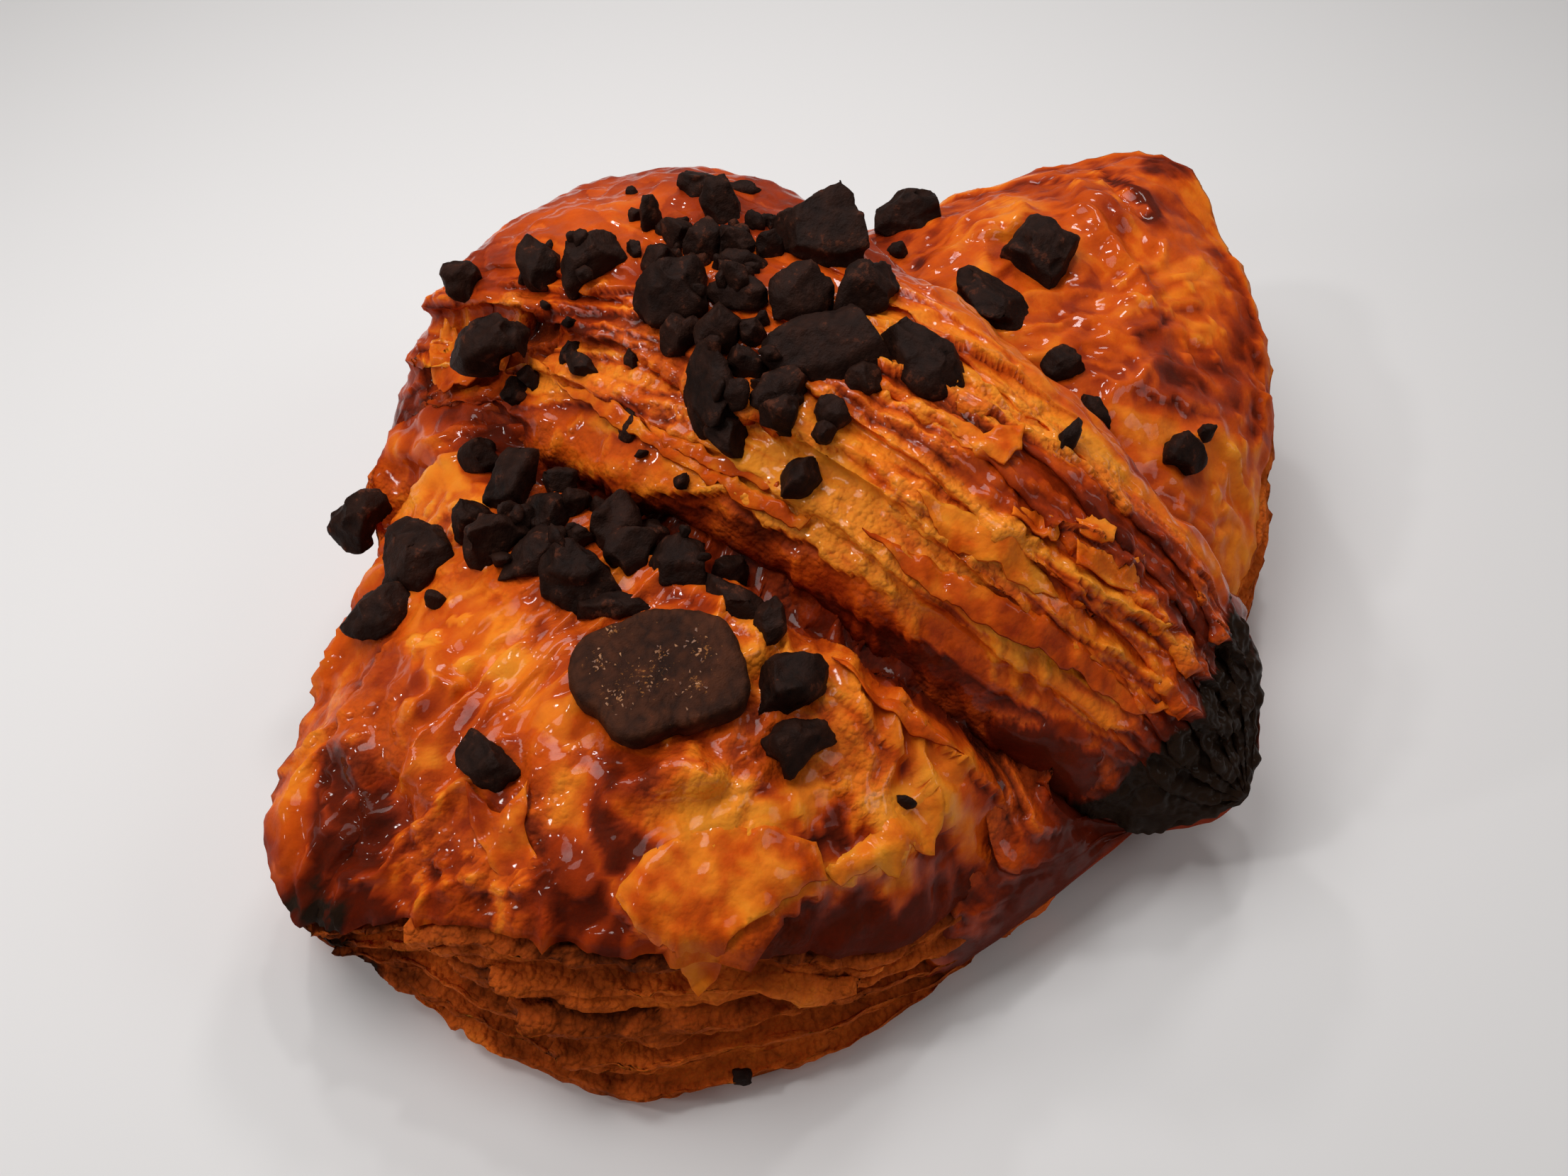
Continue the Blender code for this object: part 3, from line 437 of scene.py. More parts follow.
# On the upper flap, its foot by the groove is darker as painted shade, the leaves by the fold are
# browner, and the first strip is paler: partly its golden colour, partly painted light on a wall in
# shade. On the lower flap, the groove is darker as painted shade, and the middle and the end are
# browner.
UPPER_BAKE_AND_SHADING = {"foot": 0.34, "fold_leaves": 0.2, "first_strip": -0.12}
LOWER_BAKE_AND_SHADE = {"groove": 0.4, "middle": 0.05, "end": 0.16}
# Darker in the groove under the upper flap, as painted shade; a browner lip; and a paler rear lip,
# partly its own pale rim and partly painted light on a side in shade.
LOBE_GROOVE_SHADE, LIP_BAKE, REAR_LIP_PALE_AND_LIT = 0.42, 0.10, -0.22


class Flap(NamedTuple):
    """One flap's form and what its crust shows."""

    stations: tuple
    edges: tuple
    depth: float  # how far its leaves' edges stand out
    grid: tuple  # how many points along it, over the top and under it
    leaves_between: tuple  # the pairs of Y from where to where its leaves set in at its two ends
    spots: tuple = ()
    tears: tuple = ()
    blisters: tuple = ()


UPPER = Flap(
    UPPER_FLAP, UPPER_EDGES, 1.5, (400, 190, 26), ((-52, -42), (55, 44)), FLAP_SPOTS, FLAP_TEARS,
    FLAP_BLISTERS,
)
LOWER = Flap(LOWER_FLAP, LOWER_EDGES, 1.0, (200, 110, 14), ((-46, -38), (22, 20)))

# The table's corners, the side from which the camera looks, in degrees, and what it looks at.
TABLE_HALF, TABLE_CORNERS = 3.0, ((-1, -1), (1, -1), (1, 1), (-1, 1))
VIEW_TURN, VIEW_MIDDLE = -45, (-10.25, -1.77, 20.0)
LAMPS_AT = (0.025, 0.025, 0.02)  # what the lamps point at
LAMP_BEAM = 140  # the angle of each beam in degrees
# Lamps: where each hangs, its width, both in metres, and its share of the power.
LAMPS = (
    ("overhead", (-0.06, 0.09, 0.31), 0.18, 0.205),
    ("window", (0.22, 0.12, 0.32), 0.07, 0.105),
    ("side", (0.20, -0.26, 0.30), 0.18, 0.080),
    ("glint_left", (-0.26, 0.14, 0.33), 0.036, 0.090),
    ("glint_low", (-0.33, 0.15, 0.17), 0.036, 0.065),
    ("glint_rear", (0.10, 0.28, 0.34), 0.036, 0.075),
    ("glint_top", (0.12, 0.10, 0.40), 0.030, 0.065),
)

GROWN = 1.25  # how much wider the lumps start than they end, once cut
# How chocolate breaks: how far a lump bulges first and the noise's size, how many facets and bites
# a chunk and a nib have, and how far down a cut may face. As shares of a lump's reach: where a
# facet cuts it, how far out the middle of a bite lies and how far in a bite comes.
LUMP_BULGE, CHUNK_CUTS, NIB_CUTS, LOWEST_CUT = (0.45, 1.1), (10, 4), (7, 2), -0.15
FACET_AT, BITE_MIDDLE, BITE_TO = (0.62, 0.92), (1.15, 1.6), (0.70, 0.86)
# The sizes of chips and pits in broken faces, and how deep all breaks are on each, as a share.
CHIP_SIZE, PIT_SIZE = 2.2, 1.1
CHUNK_BREAKS, NIB_BREAKS, COIN_BREAKS = 0.6, 0.4, 0.3
NIB_GRAIN = 0.8  # the nibs' edge length as a share of the chunks'
# The coin's uneven rim: the angle from +X and the share of its plain radius.
COIN_RIM = (
    (-180, 0.97), (-170, 1.06), (-153, 1.08), (-138, 0.95), (-117, 0.83), (-97, 0.90), (-67, 1.06),
    (-32, 1.03), (-10, 1.07), (15, 1.06), (38, 0.96), (65, 0.94), (84, 0.89), (100, 0.97),
    (117, 1.07), (133, 1.09), (154, 1.05), (169, 0.94), (180, 0.97),
)

CRUMBS = (  # golden crumbs on the coin: how far out, at what angle, how far they spread, how many
    (5.6, 128, 1.3, 22), (1.5, 40, 1.1, 9), (5.0, 172, 1.5, 20), (4.2, -20, 1.6, 12),
    (3.6, -75, 2.0, 14), (1.4, 170, 2.6, 16), (6.4, 95, 1.1, 12),
)
CRUMB_LIMIT = 6.6  # how far out on the coin crumbs lie
# From how small to how large a crumb is, its corners, and the reach of the coin that it lies on.
CRUMB_SIZE, CRUMB_CORNERS, CRUMB_FOOTING = (0.06, 0.15), 9, 0.8
CRUMB_FORM = ((-2, 2), (-1, 1), (-0.2, 0.6))  # from where to where a crumb reaches, in its size
COIN_WARP, COIN_SAG = (0.25, 5.0), (0.2, 4)  # how far the coin's top is out of level, and the size
HIGHEST_SHARD = 51.5  # nothing small lies higher
# From how long to how long shards are, and their width and height as shares of that.
SHARD_LENGTH, SHARD_WIDTH, SHARD_HEIGHT = (1.4, 3.2), (0.5, 0.85), (0.4, 0.7)
SHARDS = (  # small shards between the chunks: the X and Y, how far they spread, how many
    (-6.0, 32.0, 9.0, 12), (1.0, 22.0, 8.0, 16), (-2.0, 12.0, 7.0, 8), (-9.0, 1.0, 6.0, 10),
    (-29.0, 13.0, 7.0, 10), (-23.0, 2.0, 6.0, 9),
)


# --- Shader expressions -------------------------------------------------------------------------


class Wire:
    """An output of a material's node, which Python expressions can add, scale and subtract."""

    def __init__(self, finish, socket):
        self.finish, self.socket = finish, socket

    def maths(self, operation, *values):
        inputs = dict(enumerate(values))
        return self.finish.node("ShaderNodeMath", {"operation": operation}, inputs)

    def __add__(self, other):
        return self.maths("ADD", self, other)

    def __sub__(self, other):
        return self.maths("SUBTRACT", self, other)

    def __mul__(self, other):
        return self.maths("MULTIPLY", self, other)

    def __radd__(self, other):
        return self.maths("ADD", other, self)

    def __rsub__(self, other):
        return self.maths("SUBTRACT", other, self)

    def __rmul__(self, other):
        return self.maths("MULTIPLY", other, self)

    def above(self, edge, softness):
        """1 where the value is over the edge, 0 under it, and soft in between."""
        inputs = {"Value": self, "From Min": edge - softness, "From Max": edge + softness}
        return self.finish.node("ShaderNodeMapRange", {"interpolation_type": "SMOOTHSTEP"}, inputs)


class Finish:
    """A material while its nodes are laid out."""

    def __init__(self, name):
        self.material = bpy.data.materials.new(name)
        self.material.use_nodes = True
        self.tree = self.material.node_tree
        self.shader = self.tree.nodes["Principled BSDF"]

    def node(self, kind, settings, inputs, output=0):
        made = self.tree.nodes.new(kind)
        for name, value in settings.items():
            if name == "stops":
                self.set_stops(made.color_ramp, value)
            else:
                setattr(made, name, value)
        for name, value in inputs.items():
            self.feed(made.inputs[name], value)
        return Wire(self, made.outputs[output])

    def set_stops(self, ramp, stops):
        while len(ramp.elements) < len(stops):
            ramp.elements.new(1.0)
        for element, (place, colour) in zip(ramp.elements, stops, strict=True):
            element.position = place
            element.color = (*colour, 1.0)

    def feed(self, socket, value):
        if isinstance(value, Wire):
            self.tree.links.new(value.socket, socket)
        else:
            socket.default_value = value

    def set(self, **sockets):
        """Values or links of the shader's sockets, named in lower case with underscores."""
        named = {socket.name.lower().replace(" ", "_"): socket for socket in self.shader.inputs}
        for name, value in sockets.items():
            self.feed(named[name], value)

    def painted(self, attribute):
        """A number that is stored on each point of the mesh."""
        return self.node("ShaderNodeAttribute", {"attribute_name": attribute}, {}, "Fac")

    def place(self):
        return self.node("ShaderNodeNewGeometry", {}, {}, "Position")

    def clouds(self, size, detail=3.0, roughness=0.55, distortion=0.0):
        """Soft noise from 0 to 1 with patches of a size in millimetres."""
        inputs = {
            "Vector": self.place(), "Scale": 1 / (size * MM), "Detail": detail,
            "Roughness": roughness, "Distortion": distortion,
        }
        return self.node("ShaderNodeTexNoise", {}, inputs, "Fac")

    def cells(self, size):
        """The distance to the middle of the nearest cell, from 0 to about 1."""
        inputs = {"Vector": self.place(), "Scale": 1 / (size * MM)}
        return self.node("ShaderNodeTexVoronoi", {"feature": "F1"}, inputs, "Distance")

    def blend(self, factor, low, high):
        settings = {"data_type": "RGBA"}
        inputs = {"Factor": factor, 6: low, 7: high}
        return self.node("ShaderNodeMix", settings, inputs, 2)

    def bump(self, height, depth):
        """Relief of a depth in millimetres where the height goes from 0 to 1."""
        inputs = {"Height": height, "Distance": depth * MM, "Strength": 1.0}
        self.set(normal=self.node("ShaderNodeBump", {}, inputs))


# --- Settings -----------------------------------------------------------------------------------


def colour_of(name, description, default):
    return FloatVectorProperty(
        name=name, description=description, default=default, subtype="COLOR", min=0.0, max=1.0
    )


class CrustSettings(bpy.types.PropertyGroup):
    pale: colour_of("Pale", "Dough that hardly browned", (0.86, 0.29, 0.022))
    golden: colour_of("Golden", "Lightly baked skin", (0.82, 0.20, 0.012))
    orange: colour_of("Orange", "Skin as it mostly is", (0.60, 0.080, 0.004))
    brown: colour_of("Brown", "Well baked skin", (0.32, 0.029, 0.003))
    maroon: colour_of("Maroon", "Skin just before it burns", (0.11, 0.009, 0.002))
    burnt: colour_of("Burnt", "Burnt crust", (0.018, 0.009, 0.0055))
    crumb: colour_of("Crumb", "Dry leaves on the cut sides", (0.52, 0.122, 0.019))
    wrinkles: FloatProperty(
        name="Wrinkles", description="Depth of the skin's wrinkles, in millimetres", default=0.55,
        min=0.0, max=2.0,
    )
    layers: FloatProperty(
        name="Layers", description="Height of one peeled layer of skin, in millimetres",
        default=0.45, min=0.0, max=1.5,
    )
    wash: FloatProperty(
        name="Egg wash", description="How glossy the washed skin is", default=1.0, min=0.0,
        max=1.0, subtype="FACTOR",
    )


class ChocolateSettings(bpy.types.PropertyGroup):
    # Dark goes to random patches and, as painted shade, to the pits; light goes to the faces that
    # stand out.
    dark: colour_of("Dark", "Chocolate in its hollows", (0.007, 0.0032, 0.0022))
    light: colour_of("Light", "Chocolate on its worn faces", (0.034, 0.012, 0.007))
    dust: colour_of("Dust", "Fine broken chocolate on the edges", (0.11, 0.030, 0.014))
    coin: colour_of("Coin", "The smooth coin", (0.080, 0.023, 0.009))
    gold: colour_of("Golden dust", "Fine crumbs of crust on the coin", (0.33, 0.12, 0.03))
    rough_depth: FloatProperty(
        name="Breaks", description="Depth of the broken faces, in millimetres", default=0.45,
        min=0.0, max=1.5,
    )
    grain: FloatProperty(
        name="Grain", description="Edge length of the chunks' meshes, in millimetres",
        default=0.36, min=0.2, max=1.0,
    )


class StageSettings(bpy.types.PropertyGroup):
    floor: colour_of("Floor", "The pale table", (0.80, 0.785, 0.78))
    room: colour_of("Room", "Light from all round", (1.0, 0.97, 0.94))
    room_strength: FloatProperty(
        name="Room light", description="Strength of the light from all round", default=0.18,
        min=0.0, max=3.0,
    )
    lamp_power: FloatProperty(
        name="Lamps", description="Power of all the lamps together", default=1.34, min=0.0,
        max=100.0, unit="POWER",
    )
    lens: FloatProperty(
        name="Lens", description="Focal length on a 36 mm wide frame", default=32.0, min=10.0,
        max=200.0, unit="CAMERA",
    )
    view_distance: FloatProperty(
        name="View distance", description="From the camera to the middle of its view",
        default=0.1592, min=0.05, max=2.0, unit="LENGTH",
    )
    view_height: IntProperty(
        name="View height", description="How far the camera looks down, in degrees", default=50,
        min=0, max=90,
    )


# --- Form of the crust, as in the solids --------------------------------------------------------


def smooth_rows(rows, at):
    """The other columns of rows at each value of the first one, on a smooth curve through them."""
    rows = np.asarray(rows, float)
    knots, values = rows[:, 0], rows[:, 1:]
    slopes = np.gradient(values, knots, axis=0)
    at = np.clip(np.asarray(at, float), knots[0], knots[-1])
    left = np.clip(np.searchsorted(knots, at, side="right") - 1, 0, len(knots) - 2)
    width = (knots[left + 1] - knots[left])[:, None]
    t = (at - knots[left])[:, None] / width
    return (
        (2 * t**3 - 3 * t**2 + 1) * values[left]
        + (t**3 - 2 * t**2 + t) * width * slopes[left]
        + (3 * t**2 - 2 * t**3) * values[left + 1]
        + (t**3 - t**2) * width * slopes[left + 1]
    )


def smooth_step(low, high, at):
    x = np.clip((np.asarray(at, float) - low) / (high - low), 0, 1)
    return x * x * (3 - 2 * x)


def gap(points, place):
    """How far each point is from a place, in plan."""
    return np.hypot(points[:, 0] - place[0], points[:, 1] - place[1])


def mound(apart, width):
    """1 in the middle, and about a third at the width on both sides of it."""
    return np.exp(-((apart / width) ** 2))


def fading(apart, reach):
    """1 up to an edge, and less and less beyond it."""
    return np.exp(-np.maximum(apart, 0) / reach)


def outline_radius(angle):
    """How far the dough reaches from its middle, at each angle."""
    points = np.asarray(OUTLINE) - MIDDLE
    angles = np.arctan2(points[:, 1], points[:, 0])
    radii = np.hypot(points[:, 0], points[:, 1])
    order = np.argsort(angles)
    turn = 2 * math.pi
    rows = [(angles[i] + k * turn, radii[i]) for k in (-1, 0, 1) for i in order]
    return smooth_rows(rows, angle)[:, 0]


def wave(points, size, seed):
    """Smooth noise from -1 to 1, with bumps of the given size."""
    shifted = np.asarray(points) / size + np.array((17.3, 5.1, 9.7)) * seed
    return np.fromiter(map(noise.noise, shifted.tolist()), float, len(shifted))


def clouds(points, size, seed):
    """Noise with three sizes of bumps, from about -1 to 1."""
    shares = ((1.0, 1.0), (0.5, 0.5), (0.25, 0.25))
    return sum(share * wave(points, size * scale, seed + scale) for share, scale in shares) * 1.2


def summed(pattern, points, rows):
    """The sum of some noise, from rows of its share, its size and its seed."""
    return sum(share * pattern(points, size, seed) for share, size, seed in rows)


def ridges(points, size, seed):
    """Sharp crests of height 1 over broad hollows at about 0."""
    return np.clip(1 - 2.6 * np.abs(wave(points, size, seed)), 0, 1) ** 1.5


def relief(points):
    """How far the baked skin rises over its plain form at each point."""
    (billow, billow_size), (crease, crease_size), (blister, blister_size) = RELIEF
    height = billow * wave(points, billow_size, 1)
    height += crease * (0.35 - np.abs(wave(points, crease_size, 2)))
    height += blister * wave(points, blister_size, 3)
    return height * smooth_step(0, 2 * FOOT_ROUND, points[:, 2])


def raised(points, core):
    outward = points - core
    outward /= np.maximum(np.linalg.norm(outward, axis=1, keepdims=True), 1e-6)
    return points + outward * relief(points)[:, None]


def ledge(part):
    """The profile of one leaf's edge, from 0 to 1: it stands out at once and then falls away."""
    return np.minimum(part / LEAF_FACE, (1 - part) / (1 - LEAF_FACE))


def dough_points(angle, kind, share):
    """Points of the dough body, and how deep the leaves are cut at each one.

    kind is 0 on the underside, 1 on the cut side, 2 on the top. share runs from the middle to the
    rim, from the table to the lip, and from the lip to the middle.
    """
    radius = outline_radius(angle)
    lip, inset, cut, tuck = smooth_rows(RIM, np.degrees(angle)).T
    direction = np.stack([np.cos(angle), np.sin(angle), 0 * angle], axis=1)
    fold = np.clip(1.2 - cut, 0, 1)

    # The leaves wander up and down, and each stands out over the groove above it.
    wander = 0.3 * wave(direction * 22 + (0, 0, 1) * share[:, None] * 3, 6.0, 4)
    level = share * LEAVES + wander * np.sin(share * math.pi)
    leaf = ledge(1 - (level - np.floor(level)))
    fine = wave(np.stack([angle * 12, share * 30, 0 * angle], axis=1), 1.0, 5)
    stand_out = cut * (leaf - 0.5 + 0.3 * fine) * smooth_step(0, 0.06, share)
    round_foot = FOOT_ROUND * (1 - smooth_step(0, 0.12, share)) * 0.5
    side = radius - inset * share**1.5 + stand_out - round_foot
    side = side - tuck * (1 - share) ** 2 + FOLD_BULGE * fold * np.sin(share * math.pi)

    over = (radius - inset) * (1 - share)
    x = direction[:, 0] * over
    dome = FRONT_DOME + (REAR_DOME - FRONT_DOME) * smooth_step(-15, 15, x)
    dome = dome - DIP * mound(x, DIP_WIDTH)
    rise = (1 - (1 - share) ** 3) ** 0.75
    below = (radius - tuck - FOOT_ROUND / 2) * share

    out = np.choose(kind, [below, side, over])
    height = np.choose(kind, [0 * share, lip * share, lip + (dome - lip) * rise])
    points = direction * out[:, None] + (*MIDDLE, 0.0)
    x, y, radius, depth = HOLLOW
    points[:, 2] = height - depth * mound(gap(points, (x, y)), radius) * (kind == 2)
    return raised(points, points * (0.75, 0.75, 0.0) + (0.0, 0.0, 12.0)), cut


def flap_points(flap, along, turn):
    """Points of a flap, which is a row of closed sections across Y, and its leaves' edges.

    turn runs once round the section: 0 to 1 up the front and over the top to the rear edge, and
    1 to 2 back along the hidden underside.
    """
    stations = flap.stations
    front, rear, foot, crest = smooth_rows(stations, along).T
    width, rise = rear - front, crest - foot
    top = np.clip(turn, 0, 1)
    across = 1 - (1 - top) ** 1.25
    arch = np.clip(1 - np.abs(1 - across / CREST_AT) ** 2.1, 0, 1) ** 0.62
    fall = np.clip((across - CREST_AT) / (1 - CREST_AT), 0, 1)
    x_top = front + width * across
    z_top = foot + rise * np.where(across < CREST_AT, arch, 1 - 0.12 * fall**2 - 0.2 * fall**7)

    under = np.clip(turn - 1, 0, 1)
    inner = np.clip((1 - under) * width / OVERHANG, 0, 1)
    sink = np.sin(under * math.pi) ** 0.5 * inner * (6.0 + rise * 0.6 * (1 - under))
    x = np.where(turn > 1, rear - width * under, x_top)
    z = np.where(turn > 1, foot + rise * 0.68 * (1 - under) - sink, z_top)
    end = np.minimum(along - stations[0][0], stations[-1][0] - along) / END_ROUND
    full = np.sqrt(1 - (1 - np.clip(end, 0.0, 1)) ** 2)
    x = (front + rear) / 2 + (x - (front + rear) / 2) * full
    z = foot + rise / 2 + (z - foot - rise / 2) * full
    points = np.stack([x, along, np.maximum(z, FLAP_FLOOR)], axis=1)
    points = raised(points, np.stack([(front + rear) / 2, along, foot], axis=1))

    # The leaves' edges wander along the front, and higher up they show only by the tip.
    drift = wave(np.stack([0 * along, along, top * 20], axis=1), 14.0, 6)
    drawn = np.clip(top + 0.035 * drift * smooth_step(0.0, 0.1, top), 0, 1)
    marks = np.asarray(flap.edges)
    left = np.clip(np.searchsorted(marks, drawn, side="right") - 1, 0, len(marks) - 2)
    part = np.clip((drawn - marks[left]) / (marks[left + 1] - marks[left]), 0, 1)
    shown = smooth_step(marks[-1] + 0.04, marks[-1] - 0.04, top) * smooth_step(0.0, 0.04, top)
    shown = shown * np.clip(rise / 12, 0.2, 1) * (turn <= 1)
    shown = shown * np.where(drawn > WHOLE_EDGES, smooth_step(*EDGES_FADE, along), 1.0)
    push = flap.depth * (ledge(part) - 0.5) * shown
    return points + push[:, None] * (-0.8, 0.0, 0.6), part, shown


# --- Fine detail of the crust -------------------------------------------------------------------


def weighed(weights, patterns):
    """The sum of the patterns that have a weight, each times its weight."""
    return sum(weight * patterns[name] for name, weight in weights.items())


def faded(shown, at, *pairs):
    """What is shown, faded in along each pair of places, from the first to the second."""
    for pair in pairs:
        shown = shown * smooth_step(*pair, at)
    return shown


def wavered(points, seed, waver):
    """The points moved about in plan by noise, from pairs of how far and the noise's size."""
    moved = points.copy()
    for number, (far, size) in enumerate(waver):
        for axis in (0, 1):
            moved[:, axis] += far * wave(points, size, seed + 2 * number + axis)
    return moved


def scattered(rng, x, y, spread):
    """A place near X and Y."""
    return x + rng.gauss(0, spread / 2), y + rng.gauss(0, spread / 2)


def along_line(points, line):
    """How far each point is from a line in plan, on its left (+) or right (-), and its fade at
    the line's two ends."""
    line = np.asarray(line, float)
    flat = points[:, :2]
    lengths = np.hypot(*np.diff(line, axis=0).T)
    before = np.concatenate([[0.0], np.cumsum(lengths)])
    nearest = np.full(len(flat), np.inf)
    side, along = np.ones(len(flat)), np.zeros(len(flat))
    for i, (start, end) in enumerate(itertools.pairwise(line)):
        run = end - start
        t = np.clip((flat - start) @ run / (run @ run), 0, 1)
        away = flat - start - t[:, None] * run
        far = np.hypot(away[:, 0], away[:, 1])
        closer = far < nearest
        turned = run[0] * (flat[:, 1] - start[1]) - run[1] * (flat[:, 0] - start[0])
        nearest = np.where(closer, far, nearest)
        side = np.where(closer, np.sign(turned), side)
        along = np.where(closer, before[i] + t * lengths[i], along)
    fade = np.minimum(along, before[-1] - along)
    return nearest * side, smooth_step(0.0, LINE_FADE, fade)


def torn(points, tears, seed):
    """The lift of torn skin, and how much each point is on its thin rim or just below it, where
    painted shade goes.
    """
    height, rim, below = (np.zeros(len(points)) for _ in range(3))
    moved = wavered(points, seed, TEAR_WAVER)
    for lift, reach, line in tears:
        apart, fade = along_line(moved, line)
        skin = smooth_step(-TEAR_EDGE, TEAR_EDGE, apart)
        height += lift * fade * skin * fading(apart, reach)
        rim = np.maximum(rim, fade * skin * fading(apart, TEAR_RIM))
        below = np.maximum(below, fade * (1 - skin) * fading(-apart, TEAR_SHADE_REACH))
    return height, rim, below


def folded(points, folds, seed):
    """How far folds of loose skin stand up."""
    height = np.zeros(len(points))
    moved = wavered(points, seed, FOLD_WAVER)
    for rise, width, line in folds:
        apart, fade = along_line(moved, line)
        height += rise * fade * mound(apart, width)
    return height


def blistered(points, groups, seed):
    """Small domes scattered round some places, each up to about half its reach high."""
    rng = random.Random(seed)
    height = np.zeros(len(points))
    for x, y, spread, count in groups:
        near = gap(points, (x, y)) < spread * 3
        spots = points[near]
        if not len(spots):
            continue
        lifted = np.zeros(len(spots))
        for _ in range(count):
            reach = rng.uniform(*BLISTER_REACH)
            apart = gap(spots, scattered(rng, x, y, spread)) / reach
            lifted = np.maximum(lifted, BLISTER_RISE * reach * np.clip(1 - apart**2, 0, 1))
        height[near] += lifted
    return height


def spotted(points, spots, seed):
    """How much more or less the oven browned each point, by the named places."""
    change = np.zeros(len(points))
    moved = wavered(points, seed, SPOT_WAVER)
    for x, y, length, width, turn, amount in spots:
        angle = math.radians(turn)
        dx, dy = moved[:, 0] - x, moved[:, 1] - y
        along = (dx * math.cos(angle) + dy * math.sin(angle)) * 2 / length
        across = (dy * math.cos(angle) - dx * math.sin(angle)) * 2 / width
        change += amount * smooth_step(*SPOT_EDGE, np.hypot(along, across))
    return change


def terraced(points, size, seed, levels):
    """Flat layers with sharp edges, as skin peels: the height from about -1 to 1, and a random
    number for each layer."""
    value = clouds(points, size, seed) * levels
    whole = np.floor(value)
    height = (whole + smooth_step(0.0, PEEL_EDGE, value - whole)) / levels
    tone = np.sin(whole * 12.9 + seed) * 43.7  # two numbers that leave nothing of the order
    return height, 2 * (tone - np.floor(tone)) - 1


def bubbled(points, size, seed):
    """Round bubbles side by side: 1 at the middle of each and 0 between them."""
    shifted = np.asarray(points) / size + seed * 3.7
    nearest = np.array([noise.voronoi(place)[0][0] for place in shifted.tolist()])
    return np.sqrt(np.clip(1 - (nearest / BUBBLE_REACH) ** 2, 0, 1))


def in_groove(points):
    """How much each point lies in the groove under the upper flap's front edge."""
    x, y = points[:, 0], points[:, 1]
    edge = smooth_rows(UPPER_FLAP, y)[:, 0]
    ends = faded(1.0, y, *GROOVE_BETWEEN)
    return mound(x - edge + GROOVE_FORWARD, GROOVE_WIDTH) * ends


def shingles(along, across, first, pitch, count, seed):
    """Layers that overlap as shingles do, each over the one below it on the way across: the height,
    how much each point is on an edge or in the groove under one, which gets painted shade, and the
    layers' tones."""
    places = np.linspace(along.min(), along.max(), LAYER_PLACES)
    height, edge, groove, tone = (np.zeros(len(along)) for _ in range(4))
    for number in range(count):
        row = np.stack([places, 0 * places + LAYER_APART * number, 0 * places], axis=1)
        bend = sum(share * wave(row, size, seed + i) for i, (share, size) in enumerate(LAYER_BENDS))
        tall = 1 + 0.9 * wave(row, 17.0, seed + 5)
        shown = tall * smooth_step(-0.4, 0.15, wave(row, 15.0, seed + 3))
        shown = np.interp(along, places, shown)
        shade = np.interp(along, places, 1.6 * wave(row, 19.0, seed + 4))
        apart = across - first - pitch * (number + np.interp(along, places, bend))
        over = smooth_step(-LAYER_EDGE, LAYER_EDGE, apart)
        height += shown * over * fading(apart, LAYER_SLOPE * pitch)
        thin = np.minimum(shown, 1)
        edge = np.maximum(edge, thin * over * fading(apart, LAYER_RIM))
        groove = np.maximum(groove, thin * (1 - over) * fading(-apart, LAYER_SHADE_REACH))
        tone = tone * (1 - over) + shade * over
    return height, edge, groove, tone


def charred(points, height, baked, roughness):
    """The height with the rough lumps that the crust has where it burnt."""
    return height + smooth_step(*CHARRING, baked) * summed(wave, points, roughness)


def lobe_skin(points, angle, skin, top, crust):
    """The lobes' washed skin: its height, how baked it is, with painted shade in the valley of each
    wrinkle and painted light on the puckers' crests, and where it lies calm. It is wrinkled down to
    the rim, peeled, folded, torn and blistered, and has strips beside the groove."""
    x, y, _ = points.T
    front = smooth_step(*TO_FRONT, x)
    radius = gap(points, MIDDLE)
    swirl = angle + 0.12 * clouds(points, 16.0, 11)
    run = np.stack([swirl * LOBE_TURN, radius * WRINKLE_STRETCH, 0 * x], axis=1)
    calm = smooth_step(-0.35, 0.4, clouds(points, 13.0, 12))
    puckers = ridges(run * (1, 0.6, 1), 7.5, 17) * smooth_step(-0.5, 0.3, wave(points, 19.0, 24))
    wrinkles = ridges(run, 4.4, 13) * (0.35 + 0.65 * calm) * smooth_step(*WRINKLES_FROM, radius)
    crinkles = ridges(points * (1, 1, 0.6), 2.6, 14) * (1 - calm)
    peel, tone = terraced(points, 15.0, 15, 2.4)
    lift, rim, below = torn(points, LOBE_TEARS, 16)
    bubbles = blistered(points, LOBE_BLISTERS, 19)
    beside = faded(faded(1.0, x, *STRIPS_IN_X), y, *STRIPS_IN_Y) * top
    strips, edges, leaf_shade, tones = shingles(y, x + 0.12 * y, *GROOVE_STRIPS)

    # Painted shade makes each wrinkle's valley darker, and painted light makes the puckers' crests
    # paler.
    parts = {
        "all": 1, "tears": lift, "torn_rims": rim, "under_tears": below, "bubbles": bubbles,
        "blistered": bubbles > BLISTER_SHOWS, "folds": folded(points, LOBE_FOLDS, 18),
        "puckers": puckers, "front_puckers": front * puckers, "layers": tone * top,
        "valley_shade": (np.clip(0.45 - wrinkles - crinkles, 0, 0.45) - 0.25) * skin,
        "beside": beside, "strips": beside * strips, "strip_edges": beside * edges,
        "strip_shade": beside * leaf_shade, "strip_tones": beside * tones,
    }
    height = crust.wrinkles * (wrinkles + 0.45 * crinkles - 0.3) + crust.layers * peel
    height = height * (REAR_RELIEF + (1 - REAR_RELIEF) * front)
    height += weighed(SKIN_RISE, parts) + summed(wave, points, SKIN_GRAIN)
    return height, weighed(SKIN_BAKE_AND_SHADING, parts) + summed(clouds, points, SKIN_MOTTLE), calm


